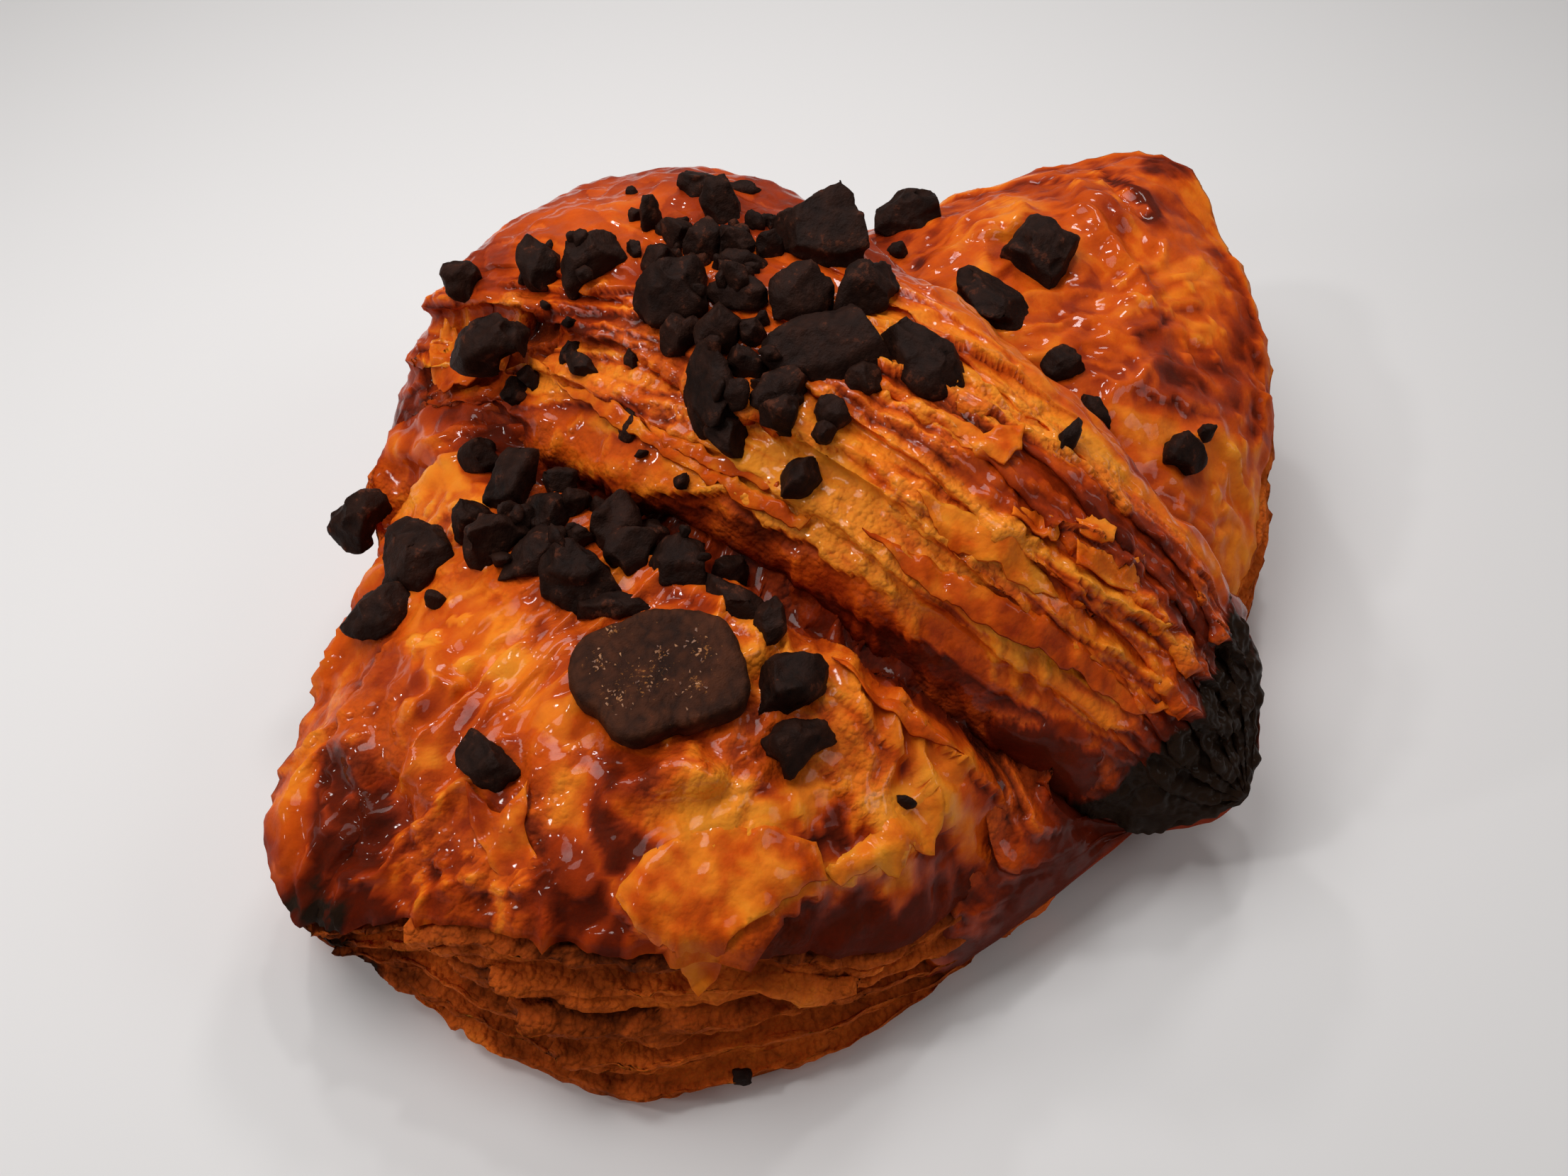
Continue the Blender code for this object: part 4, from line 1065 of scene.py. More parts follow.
def lobe_side(points, angle, side, oven):
    """The lobes' cut side, of long thin leaves that slope across the thick ones and an airy crumb:
    its height, and how baked it is, with painted shade under each leaf."""
    x, _, z = points.T
    slope = np.where(x < 0, angle - LEAVES_LEVEL_AT, 0) * LEAF_SLOPE
    leaves, edges, leaf_shade, tones = shingles(angle * SIDE_TURN, z + slope, *SIDE_LEAVES)
    hairs = shingles(angle * SIDE_TURN, z + slope * 0.9, *SIDE_HAIRS)[0]
    crumb = bubbled(points * (1, 1, 1.3), 2.1, 22) * side
    airy = smooth_step(-0.3, 0.3, clouds(points, 11.0, 29))
    parts = {
        "all": 1, "leaves": leaves, "edges": edges, "leaf_shade": leaf_shade, "tones": tones,
        "hairs": hairs, "crumb": crumb, "airy": airy, "airy_crumb": airy * crumb,
        "mottle": clouds(points, 2.4, 35), "oven": oven,
    }
    return weighed(SIDE_RISE, parts), weighed(SIDE_BAKE_AND_SHADE, parts)


def lobe_detail(points, angle, kind, share, cut, crust):
    """The fine relief of the dough body, and how baked (with painted shade and light in that), how
    glossy and how dry each point is.
    """
    x, z = points[:, 0], points[:, 2]
    top, side = kind == 2, kind == 1
    front = smooth_step(*TO_FRONT, x)
    from_lip = np.where(top, share, 0.0)
    skin = np.where(top, 1.0, np.where(side, 1 - np.clip(cut, 0, 1), 0.0))
    oven = spotted(points, LOBE_SPOTS, 33)
    skin_height, skin_bake_and_shading, calm = lobe_skin(points, angle, skin, top, crust)
    side_height, side_bake_and_shade = lobe_side(points, angle, side, oven)
    side_height = side_height * np.clip(cut, 0, 1.2) * (1 - 0.6 * smooth_step(10, 30, x))

    # The ragged lip where the skin ends over the cut side, and the groove under the upper flap.
    lip = np.where(side, smooth_step(0.93, 1.0, share), 1 - smooth_step(0.0, 0.03, from_lip))
    lip = lip * np.clip(cut, 0, 1) * (kind > 0)
    rear_lip = lip * (1 - front)
    lip = lip * (0.2 + 0.5 * front)
    ragged = 0.5 + 0.5 * clouds(np.stack([angle * LIP_TURN, 0 * x, 0 * x], axis=1), 3.0, 23)
    height = np.where(skin > 0.5, skin_height, side_height) * (kind > 0) + lip * ragged
    trench = in_groove(points) * top
    height = height * smooth_step(*OFF_TABLE, z) - GROOVE_DEPTH * trench

    # Painted shade makes the groove under the upper flap darker.
    skin_bake_and_shading = skin_bake_and_shading + oven + LOBE_GROOVE_SHADE * trench
    baked = np.where(skin > 0.5, skin_bake_and_shading, side_bake_and_shade)
    # The rear lobe's lip is paler: partly its own pale rim, partly painted light on a side in
    # shade.
    baked = baked + LIP_BAKE * lip + REAR_LIP_PALE_AND_LIT * rear_lip
    baked = np.where(kind == 0, UNDERSIDE_BAKED, np.clip(baked, LEAST_BAKED, MOST_BAKED))
    baked = baked + spotted(points, LOBE_CHAR, 37)
    height = charred(points, height, baked, LOBE_CHAR_LUMPS)
    glossy = skin * (0.6 + 0.4 * smooth_step(-0.6, 0.3, clouds(points, 9.0, 36)))
    glossy = glossy * (0.2 + 0.8 * smooth_step(0.0, 0.12, from_lip))
    froth = np.clip(1 - skin + 0.5 * (1 - calm) * front, 0, 1)
    return height, baked, glossy, froth


def flap_leaves(points, along, across, airy):
    """The leaves along a flap, of strips, threads, lumps and foam: their height, and how much
    browner they are, with painted shade under each leaf's edge."""
    strips, edges, leaf_shade, tones = shingles(along, across, *FLAP_STRIPS)
    threads, thread_edges, thread_shade, thread_tones = shingles(along, across, *FLAP_THREADS)
    fine = smooth_step(*FINE_THREADS, along)
    parts = {
        "all": 1, "strips": strips, "edges": edges, "leaf_shade": leaf_shade, "tones": tones,
        "threads": threads, "thread_edges": thread_edges, "thread_shade": thread_shade,
        "thread_tones": thread_tones, "fine_threads": fine * threads,
        "fine_thread_shade": fine * thread_shade, "lumps": clouds(points * (1, 0.6, 1), 3.0, 44),
        "airy": airy, "foam": airy * bubbled(points * (1, 0.8, 1), 1.5, 61),
    }
    return weighed(LEAF_RISE, parts), weighed(LEAF_BAKE_AND_SHADE, parts)


def flap_detail(points, along, turn, part, shown, crust, flap):
    """The same for a flap: its leaves run along it, and the skin is smooth over the crest."""
    upper = flap is UPPER
    top = np.clip(turn, 0, 1)
    outside = turn <= 1
    front, rear, foot, crest = smooth_rows(flap.stations, along).T
    size = (rear - front + 0.7 * (crest - foot)) / FLAP_SIZE
    across = top * FLAP_LENGTH * size + FAN_OUT * along
    oven = spotted(points, flap.spots, 53)
    not_end = faded(1.0, along, *flap.leaves_between)
    by_tip = smooth_step(*LEAFY_BY_TIP, along) if upper else np.ones(len(points))
    leafy = np.maximum(by_tip * smooth_step(0.84, 0.66, top), smooth_step(0.36, 0.26, top))
    leafy = leafy * outside * not_end * (1 - 0.85 * smooth_step(0.04, 0.09, oven))
    airy = smooth_step(-0.25, 0.35, clouds(points * (1, 0.5, 1), 12.0, 59))
    leaf_height, leaf_bake_and_shade = flap_leaves(points, along, across, airy)

    # The skin where it is whole, its tears and its blisters.
    peel, tone = terraced(points * (1, 0.5, 1), 13.0, 45, 2.0)
    skin = 0.6 * crust.wrinkles * ridges(points * (1, 0.4, 1), 5.0, 46) + crust.layers * peel
    lift, rim, below = torn(points, flap.tears, 47)
    bubbles = blistered(points, flap.blisters, 48)
    grain = 0.14 * wave(points * (1, 0.6, 1), 1.1, 57)
    height = leafy * leaf_height + (1 - leafy) * skin * 0.7 * not_end
    height = height + (lift + bubbles + grain) * outside
    # The foot of each leaf's edge is darker as painted shade.
    parts = {
        "all": 1, "skin": 1 - leafy, "layers": (1 - leafy) * tone, "torn_rims": rim,
        "under_tears": below, "blistered": bubbles > BLISTER_SHOWS,
        "leaf_end_shade": shown * smooth_step(0.25, 0.0, part), "mottle": clouds(points, 3.0, 52),
        "bands": clouds(points * (1, 0.45, 1), 12.0, 51),
        "streaks": clouds(points * (1, 0.5, 1), 5.0, 62),
    }
    baked = leafy * leaf_bake_and_shade + oven + weighed(FLAP_BAKE_AND_SHADE, parts)

    # What only one of the two has: the arch at the fold, and the groove that runs onto the other.
    if upper:
        height, baked = upper_places(height, baked, along, top, leafy, outside)
    else:
        # The groove is cut into the lower flap and made darker as painted shade.
        trench = in_groove(points) * outside
        height = height - GROOVE_DEPTH * trench
        middle, end = smooth_step(-6, -20, along), smooth_step(-28, -40, along)
        parts = {"groove": trench, "middle": middle, "end": end}
        baked = baked + weighed(LOWER_BAKE_AND_SHADE, parts)

    # The dark and burnt tip.
    past = points @ TIP_FACING + 2.5 * clouds(points, 5.0, 60)
    baked = baked + TIP_BAKE * smooth_step(*TIP_DARK, past) * smooth_step(0.9, 0.5, top)
    baked = np.where(outside, np.clip(baked, LEAST_BAKED, MOST_BAKED), UNDER_FLAP_BAKED)
    if upper:
        baked = baked + CHAR_BAKE * smooth_step(*TIP_CHAR, past) * smooth_step(0.99, 0.93, top)
    height = charred(points, height, baked, FLAP_CHAR_LUMPS)
    return height, baked, (1 - 0.1 * leafy) * outside, leafy * (0.3 + 0.3 * leafy * airy)


def upper_places(height, baked, along, top, leafy, outside):
    """The upper flap's height and bake with its foot darker as painted shade, its first strip
    paler, partly as painted light on a wall in shade, its fold and its arch.
    """
    middle, half, share, depth = ARCH
    foot = smooth_step(0.08, 0.02, top) * smooth_step(24, 2, along)
    fold_leaves = smooth_step(-2, 16, along) * leafy
    first_strip = mound(top - 0.13, 0.05) * smooth_step(12, 0, along)
    parts = {"foot": foot, "fold_leaves": fold_leaves, "first_strip": first_strip}
    baked = baked + weighed(UPPER_BAKE_AND_SHADING, parts)
    arch = np.exp(-(((along - middle) / half) ** 4)) * smooth_step(share + 0.05, share, top)
    within = 0.7 * arch * smooth_step(0.10, 0.04, top)
    return height - depth * arch * outside, baked * (1 - within) + ARCH_BAKED * within


# --- Meshes -------------------------------------------------------------------------------------


def shell(grid):
    """A closed mesh from rings of points, whose first and last ring are single points."""
    rings, count = grid.shape[:2]
    inner = grid[1:-1].reshape(-1, 3)
    points = np.concatenate([grid[0, :1], inner, grid[-1, :1]])
    last = len(points) - 1
    faces = []
    for i in range(count):
        j = (i + 1) % count
        faces.append((0, 1 + j, 1 + i))
        faces.append((last, last - count + i, last - count + j))
    rows = 1 + np.arange(rings - 3)[:, None] * count
    here, beside = np.arange(count), (np.arange(count) + 1) % count
    quads = np.stack([rows + here, rows + beside, rows + count + beside, rows + count + here], -1)
    faces += quads.reshape(-1, 4).tolist()
    mesh = bpy.data.meshes.new("shell")
    mesh.from_pydata(points.tolist(), [], faces)
    mesh.update()
    bm = bmesh.new()
    bm.from_mesh(mesh)
    bmesh.ops.recalc_face_normals(bm, faces=bm.faces)
    bm.to_mesh(mesh)
    bm.free()
    return mesh


def flat_list(values):
    """One value per point of a shell, from one value per point of its grid."""
    return np.concatenate([values[0, :1], values[1:-1].reshape(-1), values[-1, :1]])


def normals_of(mesh):
    normals = np.empty(len(mesh.vertices) * 3, np.float32)
    mesh.vertex_normals.foreach_get("vector", normals)
    return normals.reshape(-1, 3)


def points_of(mesh):
    points = np.empty(len(mesh.vertices) * 3, np.float32)
    mesh.vertices.foreach_get("co", points)
    return points.reshape(-1, 3).astype(float)


def move_points(mesh, points):
    mesh.vertices.foreach_set("co", points.astype(np.float32).ravel())
    mesh.update()


def store(mesh, **values):
    for name, numbers in values.items():
        attribute = mesh.attributes.new(name, "FLOAT", "POINT")
        attribute.data.foreach_set("value", np.asarray(numbers, np.float32))


def shade_round(mesh):
    mesh.polygons.foreach_set("use_smooth", [True] * len(mesh.polygons))


def mesh_of(bm, name):
    mesh = bpy.data.meshes.new(name)
    bm.to_mesh(mesh)
    bm.free()
    return mesh


def linked(name, data):
    """A new object that is in the scene."""
    made = bpy.data.objects.new(name, data)
    bpy.context.scene.collection.objects.link(made)
    return made


def in_metres(x, y, z):
    """A place in the drawing, as one in the frame."""
    return Vector((x + DRAWN_AT[0], y + DRAWN_AT[1], z + DRAWN_AT[2])) * MM


def piece(name, mesh, material, slot, *replaced):
    """A piece of the pastry: it rides on the pastry's one body and stands for some nodes."""
    mesh.name = name
    mesh.materials.clear()
    mesh.materials.append(material)
    made = linked(name, mesh)
    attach(made, "root")
    if replaced:
        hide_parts(*replaced)
    return made


def crusted(mesh, lowest, detail, *parts):
    """The mesh with its fine relief, and with what the crust's material reads stored on it. Steep
    skin is duller, and so is what burnt."""
    points = points_of(mesh)
    height, baked, glossy, froth = detail(points, *parts)
    points += normals_of(mesh) * height[:, None]
    points[:, 2] = np.maximum(points[:, 2], lowest)
    move_points(mesh, points)
    up = normals_of(mesh)[:, 2]
    dull = smooth_step(0.72, 0.95, baked)
    glossy = glossy * (0.1 + 0.9 * smooth_step(0.0, 0.42, up)) * (1 - 0.75 * dull)
    store(mesh, baked=baked, glossy=glossy, froth=froth)
    return mesh


def paint_contact_shade(meshes):
    """Paints shade into the crust close to where two bodies of it meet, as a browner bake."""
    places = [points_of(mesh) for mesh in meshes]
    trees = []
    for mesh, points in zip(meshes, places, strict=True):
        faces = [tuple(face.vertices) for face in mesh.polygons]
        trees.append(bvhtree.BVHTree.FromPolygons(points.tolist(), faces))
    for i, mesh in enumerate(meshes):
        values = mesh.attributes["baked"].data
        for tree in trees[:i] + trees[i + 1:]:
            for j, point in enumerate(places[i].tolist()):
                apart = tree.find_nearest(point, CONTACT_REACH)[3]
                if apart is not None:
                    baked = values[j].value
                    bake = CONTACT_SHADE * (1 - apart / CONTACT_REACH) ** 1.5
                    values[j].value = max(baked, min(baked + bake, MOST_BAKED))


def dough_mesh(crust):
    """The dough body, with its points closest together on the front lobe."""
    turns = np.arange(DOUGH_TURNS) * 2 * math.pi / DOUGH_TURNS - math.pi
    angles = turns - 0.12 * np.sin(2 * turns) + 0.28 * np.sin(turns)
    rings = [(0, share) for share in UNDERSIDE_RINGS]
    rings += [(1, (step + 1) / SIDE_RINGS) for step in range(SIDE_RINGS)]
    rings += [(2, COVERED_FROM * (step + 1) / TOP_RINGS) for step in range(TOP_RINGS)]
    left = 1 - COVERED_FROM
    rings += [(2, COVERED_FROM + left * (i + 1) / COVERED_RINGS) for i in range(COVERED_RINGS)]
    kinds, shares = np.array(rings).T
    shape = (len(rings), DOUGH_TURNS)
    angle = np.broadcast_to(angles, shape).ravel()
    kind = np.repeat(kinds.astype(int), DOUGH_TURNS)
    share = np.repeat(shares, DOUGH_TURNS)
    points, cut = dough_points(angle, kind, share)
    mesh = shell(points.reshape(*shape, 3))
    parts = (flat_list(v.reshape(shape)) for v in (angle, kind, share, cut))
    return crusted(mesh, 0.0, lobe_detail, *parts, crust)


def flap_mesh(flap, crust):
    """A flap, with its points closest together toward its two ends."""
    rings, over, under = flap.grid
    section = np.append(np.linspace(0, 1, over + 1), 1 + np.arange(1, under) / under)
    share = np.arange(rings + 1) / rings
    share = share - 0.10 * np.sin(2 * math.pi * share)
    low, high = flap.stations[0][0], flap.stations[-1][0]
    shape = (rings + 1, len(section))
    along = np.repeat(low + (high - low) * share, len(section))
    turn = np.broadcast_to(section, shape).ravel()
    points, part, shown = flap_points(flap, along, turn)
    mesh = shell(points.reshape(*shape, 3))
    parts = (flat_list(v.reshape(shape)) for v in (along, turn, part, shown))
    return crusted(mesh, FLAP_FLOOR / 2, flap_detail, *parts, crust, flap)


def surface_of(names):
    """The skin of some pieces, to lay things on, in metres in the frame."""
    points, faces = [], []
    for name in names:
        mesh = bpy.data.objects[name].data
        start = len(points)
        points += [v.co for v in mesh.vertices]
        faces += [tuple(start + i for i in p.vertices) for p in mesh.polygons]
    return bvhtree.BVHTree.FromPolygons(points, faces)


def top_at(surface, x, y):
    """The highest point of a surface at X and Y, or None."""
    start = in_metres(x, y, 0.0)
    start.z = ABOVE * MM
    return surface.ray_cast(start, Vector((0, 0, -1)))[0]


def height_at(surface, x, y):
    """The height of the crust in the drawing at X and Y, evened out over a small patch."""
    patch = ((0, 0), (EVENED, 0), (-EVENED, 0), (0, EVENED), (0, -EVENED))
    found = [top_at(surface, x + dx, y + dy) for dx, dy in patch]
    heights = [point.z / MM - DRAWN_AT[2] for point in found if point]
    return sum(heights) / len(heights)


def sides_of(outline):
    """The pairs of points that are next to each other round an outline."""
    return zip(outline, (*outline[1:], outline[0]), strict=True)


def inside(outline, x, y):
    """Whether a place lies within an outline."""
    within = False
    for (x0, y0), (x1, y1) in sides_of(outline):
        if (y0 > y) != (y1 > y) and x < x0 + (x1 - x0) * (y - y0) / (y1 - y0):
            within = not within
    return within


def flake_plan(outline, seed):
    """Triangles that fill an outline with a ragged edge."""
    rng = random.Random(seed)
    rim = []
    for (x0, y0), (x1, y1) in sides_of(outline):
        steps = max(1, round(math.dist((x0, y0), (x1, y1)) / FLAKE_GRAIN))
        for step in range(steps):
            t = step / steps
            x, y = x0 + (x1 - x0) * t, y0 + (y1 - y0) * t
            bends = [plan_noise(x, y, RAGGED_SIZE, seed + apart) for apart in RAGGED_SEEDS]
            bend_x, bend_y = (FLAKE_RAGGED * bend for bend in bends)
            rim.append((x + bend_x + rng.uniform(-0.06, 0.06), y + bend_y))
    xs, ys = zip(*rim, strict=True)
    spots = list(rim)
    for i in range(int((max(xs) - min(xs)) / FLAKE_GRAIN)):
        for j in range(int((max(ys) - min(ys)) / FLAKE_GRAIN)):
            x = min(xs) + (i + 0.5 * (j % 2)) * FLAKE_GRAIN
            y = min(ys) + j * FLAKE_GRAIN
            near = min(math.dist((x, y), spot) for spot in rim)
            if near > FLAKE_GRAIN * 0.6 and inside(rim, x, y):
                spots.append((x, y))
    loop = list(range(len(rim)))
    made = delaunay_2d_cdt([Vector(spot) for spot in spots], [], [loop], 1, 1e-4)
    return [tuple(v) for v in made[0]], made[2], rim


def plan_noise(x, y, size, seed):
    return noise.noise(Vector((x / size, y / size, seed)))


def flake(bm, layers, surface, seed, row):
    """A thin sheet of skin laid over the crust, attached on one side and lifted on the other."""
    baked, lift, hinge, outline = row
    plan, triangles, rim = flake_plan(outline, seed)
    start, end = (Vector(point) for point in hinge)
    run = end - start
    far, roots = [], []
    for x, y in plan:
        t = min(max((Vector((x, y)) - start).dot(run) / run.length_squared, 0), 1)
        foot = start + run * t
        far.append((Vector((x, y)) - foot).length)
        roots.append(height_at(surface, *foot))
    reach = max(far)
    (buckle, wide), (ripple, fine) = FLAKE_BUCKLE, FLAKE_RIPPLE
    upper, lower = [], []
    for (x, y), apart, root in zip(plan, far, roots, strict=True):
        free = apart / reach
        edge = min(math.dist((x, y), spot) for spot in rim)
        over = (lift + FLAKE_SUNK + 0.1) * free**0.5 - FLAKE_SUNK
        buckled = buckle * abs(plan_noise(x, y, wide, seed)) * free
        over += buckled + ripple * plan_noise(x, y, fine, seed)
        z = max(height_at(surface, x, y), root - HANG * apart) + over
        change = sum(part * plan_noise(x, y, size, seed + k) for part, size, k in FLAKE_PATCHES)
        change += FLAKE_END_BAKE * (free - 0.5) - FLAKE_RIM_BAKE * math.exp(-edge / FLAKE_RIM)
        for points, drop in ((upper, 0.0), (lower, FLAKE_THICK)):
            vert = bm.verts.new(in_metres(x, y, z - drop))
            vert[layers["baked"]] = baked + change + drop
            vert[layers["glossy"]] = 0.9 * (1 - free**2)
            vert[layers["froth"]] = 0.15
            points.append(vert)
    borders = {}
    for a, b, c in triangles:
        bm.faces.new((upper[a], upper[b], upper[c]))
        bm.faces.new((lower[c], lower[b], lower[a]))
        for i, j in ((a, b), (b, c), (c, a)):
            borders[(i, j)] = (j, i) not in borders
            if not borders[(i, j)]:
                borders[(j, i)] = False
    for (i, j), open_side in borders.items():
        if open_side:
            bm.faces.new((upper[j], upper[i], lower[i], lower[j]))


def remeshed(mesh, edge):
    """The mesh rebuilt with even faces of one edge length, as one skin."""
    target = linked("target", mesh)
    modifier = target.modifiers.new("even", "REMESH")
    modifier.mode = "VOXEL"
    modifier.voxel_size = edge * MM
    graph = bpy.context.evaluated_depsgraph_get()
    made = bpy.data.meshes.new_from_object(target.evaluated_get(graph))
    bpy.data.objects.remove(target, do_unlink=True)
    return made


def chiselled(points, seed, facets, bites):
    """Points of one lump, cut to flat facets and hollow bites as when chocolate breaks."""
    rng = np.random.default_rng(seed)
    middle = points.mean(axis=0)
    axes = np.linalg.svd(points - middle, full_matrices=False)[2]
    unit = (points - middle) @ axes.T
    half = np.abs(unit).max(axis=0)
    unit = unit / half
    bulge, size = LUMP_BULGE
    unit = unit * (1 + bulge * wave(unit + seed, size, 1))[:, None]
    up = axes[:, 2]  # which way is up among the lump's own axes
    for number in range(facets + bites):
        facing = rng.normal(size=3)
        facing /= np.linalg.norm(facing)
        if facing @ up < LOWEST_CUT:
            facing = facing - 2 * (facing @ up) * up
        reach = (unit @ facing).max()
        if number < facets:
            over = unit @ facing - reach * rng.uniform(*FACET_AT)
            unit = unit - np.maximum(over, 0)[:, None] * facing
            continue
        place = facing * reach * rng.uniform(*BITE_MIDDLE)
        away = unit - place
        far = np.linalg.norm(away, axis=1)
        radius = np.linalg.norm(place) - reach * rng.uniform(*BITE_TO)
        pushed = place + away * (radius / np.maximum(far, 1e-6))[:, None]
        unit = np.where((far < radius)[:, None], pushed, unit)
    return middle + (unit * half * GROWN) @ axes


def broken(mesh, depth, seed):
    """Rough broken faces, and a value for each point, 1 on the edges and 0 in the pits: real dust
    goes on the edges, painted shade in the pits.
    """
    points = points_of(mesh) / MM
    chips = clouds(points, CHIP_SIZE, seed)
    pits = ridges(points, PIT_SIZE, seed + 3)
    height = depth * (0.55 * chips - 0.35 * pits + 0.15)
    move_points(mesh, (points + normals_of(mesh) * height[:, None]) * MM)
    shade_round(mesh)
    store(mesh, worn=np.clip(0.55 + 0.5 * chips - 0.6 * pits, 0, 1))
    return mesh


def coin_form(points):
    """The coin's points with its uneven rim, and a top that sags a little in the middle."""
    middle = (points.min(axis=0) + points.max(axis=0)) / 2
    x, y = points[:, 0] - middle[0], points[:, 1] - middle[1]
    reach = np.interp(np.degrees(np.arctan2(y, x)), *np.array(COIN_RIM).T)
    moved = points.copy()
    moved[:, 0] += x * (reach - 1)
    moved[:, 1] += y * (reach - 1)
    (warp, size), (sag, width) = COIN_WARP, COIN_SAG
    moved[:, 2] += warp * wave(points, size, 71) - sag * mound(np.hypot(x, y), width)
    return moved


def crumb_heaps(middle):
    """Where each heap of crumbs lies round the coin's middle, how far it spreads and how many."""
    for out, angle, spread, count in CRUMBS:
        turn = math.radians(angle)
        yield (middle[0] + out * math.cos(turn), middle[1] + out * math.sin(turn)), spread, count


def coin_dust(points):
    """How much golden dust lies on each point of the coin."""
    middle = (points.min(axis=0) + points.max(axis=0)) / 2
    dust = np.zeros(len(points))
    for place, spread, _ in crumb_heaps(middle):
        dust = np.maximum(dust, mound(gap(points, place), spread))
    return dust * (0.6 + 0.6 * wave(points, 1.2, 72))


def lump(row, seed):
    """A rough nib as a closed mesh: rings of points stacked on its base."""
    length, width, height, turn = row[2:]
    rng = random.Random(seed)
    uneven = NIB_UNEVEN
    lean = (rng.uniform(-uneven, uneven), rng.uniform(-uneven, uneven))
    directions = []
    for corner in range(NIB_CORNERS):
        angle = corner * 2 * math.pi / NIB_CORNERS
        along, across = math.cos(angle) * 2 / length, math.sin(angle) * 2 / width
        reach = (abs(along) ** NIB_SQUARE + abs(across) ** NIB_SQUARE) ** (-1 / NIB_SQUARE)
        reach *= 1 + rng.uniform(-uneven, uneven) * 0.8
        angle += math.radians(turn)
        directions.append((math.cos(angle) * reach, math.sin(angle) * reach))

    bm = bmesh.new()
    rings = []
    for share, level in NIB_SECTIONS:
        ring = []
        for x, y in directions:
            out = share * (1 + rng.uniform(-uneven, uneven) * 0.6)
            rise = height * level * (1 + rng.uniform(-uneven, uneven))
            rise += max(level, 0) * (lean[0] * x + lean[1] * y)
            ring.append(bm.verts.new((x * out, y * out, rise)))
        rings.append(ring)
    for lower, upper in itertools.pairwise(rings):
        for i in range(NIB_CORNERS):
            j = (i + 1) % NIB_CORNERS
            bm.faces.new((lower[i], lower[j], upper[j], upper[i]))
    bm.faces.new(rings[0][::-1])
    bm.faces.new(rings[-1])
    bmesh.ops.triangulate(bm, faces=bm.faces)
    bmesh.ops.recalc_face_normals(bm, faces=bm.faces)
    return bm


def shard_rows():
    """Rows like those of the nibs, for shards scattered between the chunks."""
    rng = random.Random(12)
    rows = []
    for x, y, spread, count in SHARDS:
        for _ in range(count):
            length = rng.uniform(*SHARD_LENGTH)
            width, height = (length * rng.uniform(*s) for s in (SHARD_WIDTH, SHARD_HEIGHT))
            place = scattered(rng, x, y, spread)
            rows.append((*place, length, width, height, rng.uniform(0, 180)))
    return rows


def resting_place(surface, x, y, footing):
    """The frame of a thing that lies on a surface at X and Y: its +Z points out of it."""
    point = top_at(surface, x, y)
    outward = Vector()
    for _, normal, _, apart in surface.find_nearest_range(point, footing * MM):
        outward += normal * (1 - apart / (footing * MM))
    outward.normalize()
    across = (Vector((1, 0, 0)) - outward * outward.x).normalized()
    turn = Matrix((across, outward.cross(across), outward)).transposed()
    return Matrix.Translation(point) @ turn.to_4x4() @ Matrix.Scale(MM, 4)


# --- Materials ----------------------------------------------------------------------------------


def crust_finish(crust):
    """Egg-washed crust: paler or browner by its painted bake, which also holds painted shade and
    light, with fine grain and pores.
    """
    finish = Finish("baked_crust")
    froth = finish.painted("froth")
    mottle = finish.clouds(2.4, 4.0, 0.6, 0.4) - 0.5
    grain = finish.clouds(0.45, 2.0) - 0.5
    pores = finish.cells(0.85)
    # The painted bake is the oven's browning plus painted shade in creases, grooves and contacts
    # and painted light on crests.
    baked = finish.painted("baked") + mottle * 0.17 + grain * 0.07
    baked = baked + froth * (pores * 0.16 - 0.05)
    stops = (
        (0.0, crust.pale), (0.2, crust.golden), (0.42, crust.orange), (0.64, crust.brown),
        (0.84, crust.maroon), (1.0, crust.burnt),
    )
    ramp = finish.node("ShaderNodeValToRGB", {"stops": stops}, {"Fac": baked}, "Color")
    dry = tuple((place, tuple(share * c for c in crust.crumb)) for place, share in DRY_STOPS)
    dry = finish.node("ShaderNodeValToRGB", {"stops": dry}, {"Fac": baked}, "Color")
    glossy = finish.painted("glossy")
    smear = finish.clouds(3.5, 3.0, 0.6)
    finish.set(
        base_color=finish.blend((froth - 0.4) * 0.8, ramp, dry),
        roughness=0.72 - glossy * 0.22 + smear * 0.1,
        coat_weight=glossy * smear.above(0.42, 0.2) * (0.8 * crust.wash),
        coat_roughness=0.07,
        coat_ior=1.38,
        specular_ior_level=0.06,
        specular_tint=(1.0, 0.55, 0.25, 1.0),
        subsurface_weight=0.1,
        subsurface_radius=(1.0, 0.3, 0.05),
        subsurface_scale=0.8 * MM,
    )
    fine_pores = finish.cells(0.5)
    foam = froth * ((0.9 - pores) * 1.5 + (0.9 - fine_pores) * 0.8)
    finish.bump(finish.clouds(1.0, 3.0, 0.55) * 0.5 + foam, 0.28)
    return finish.material


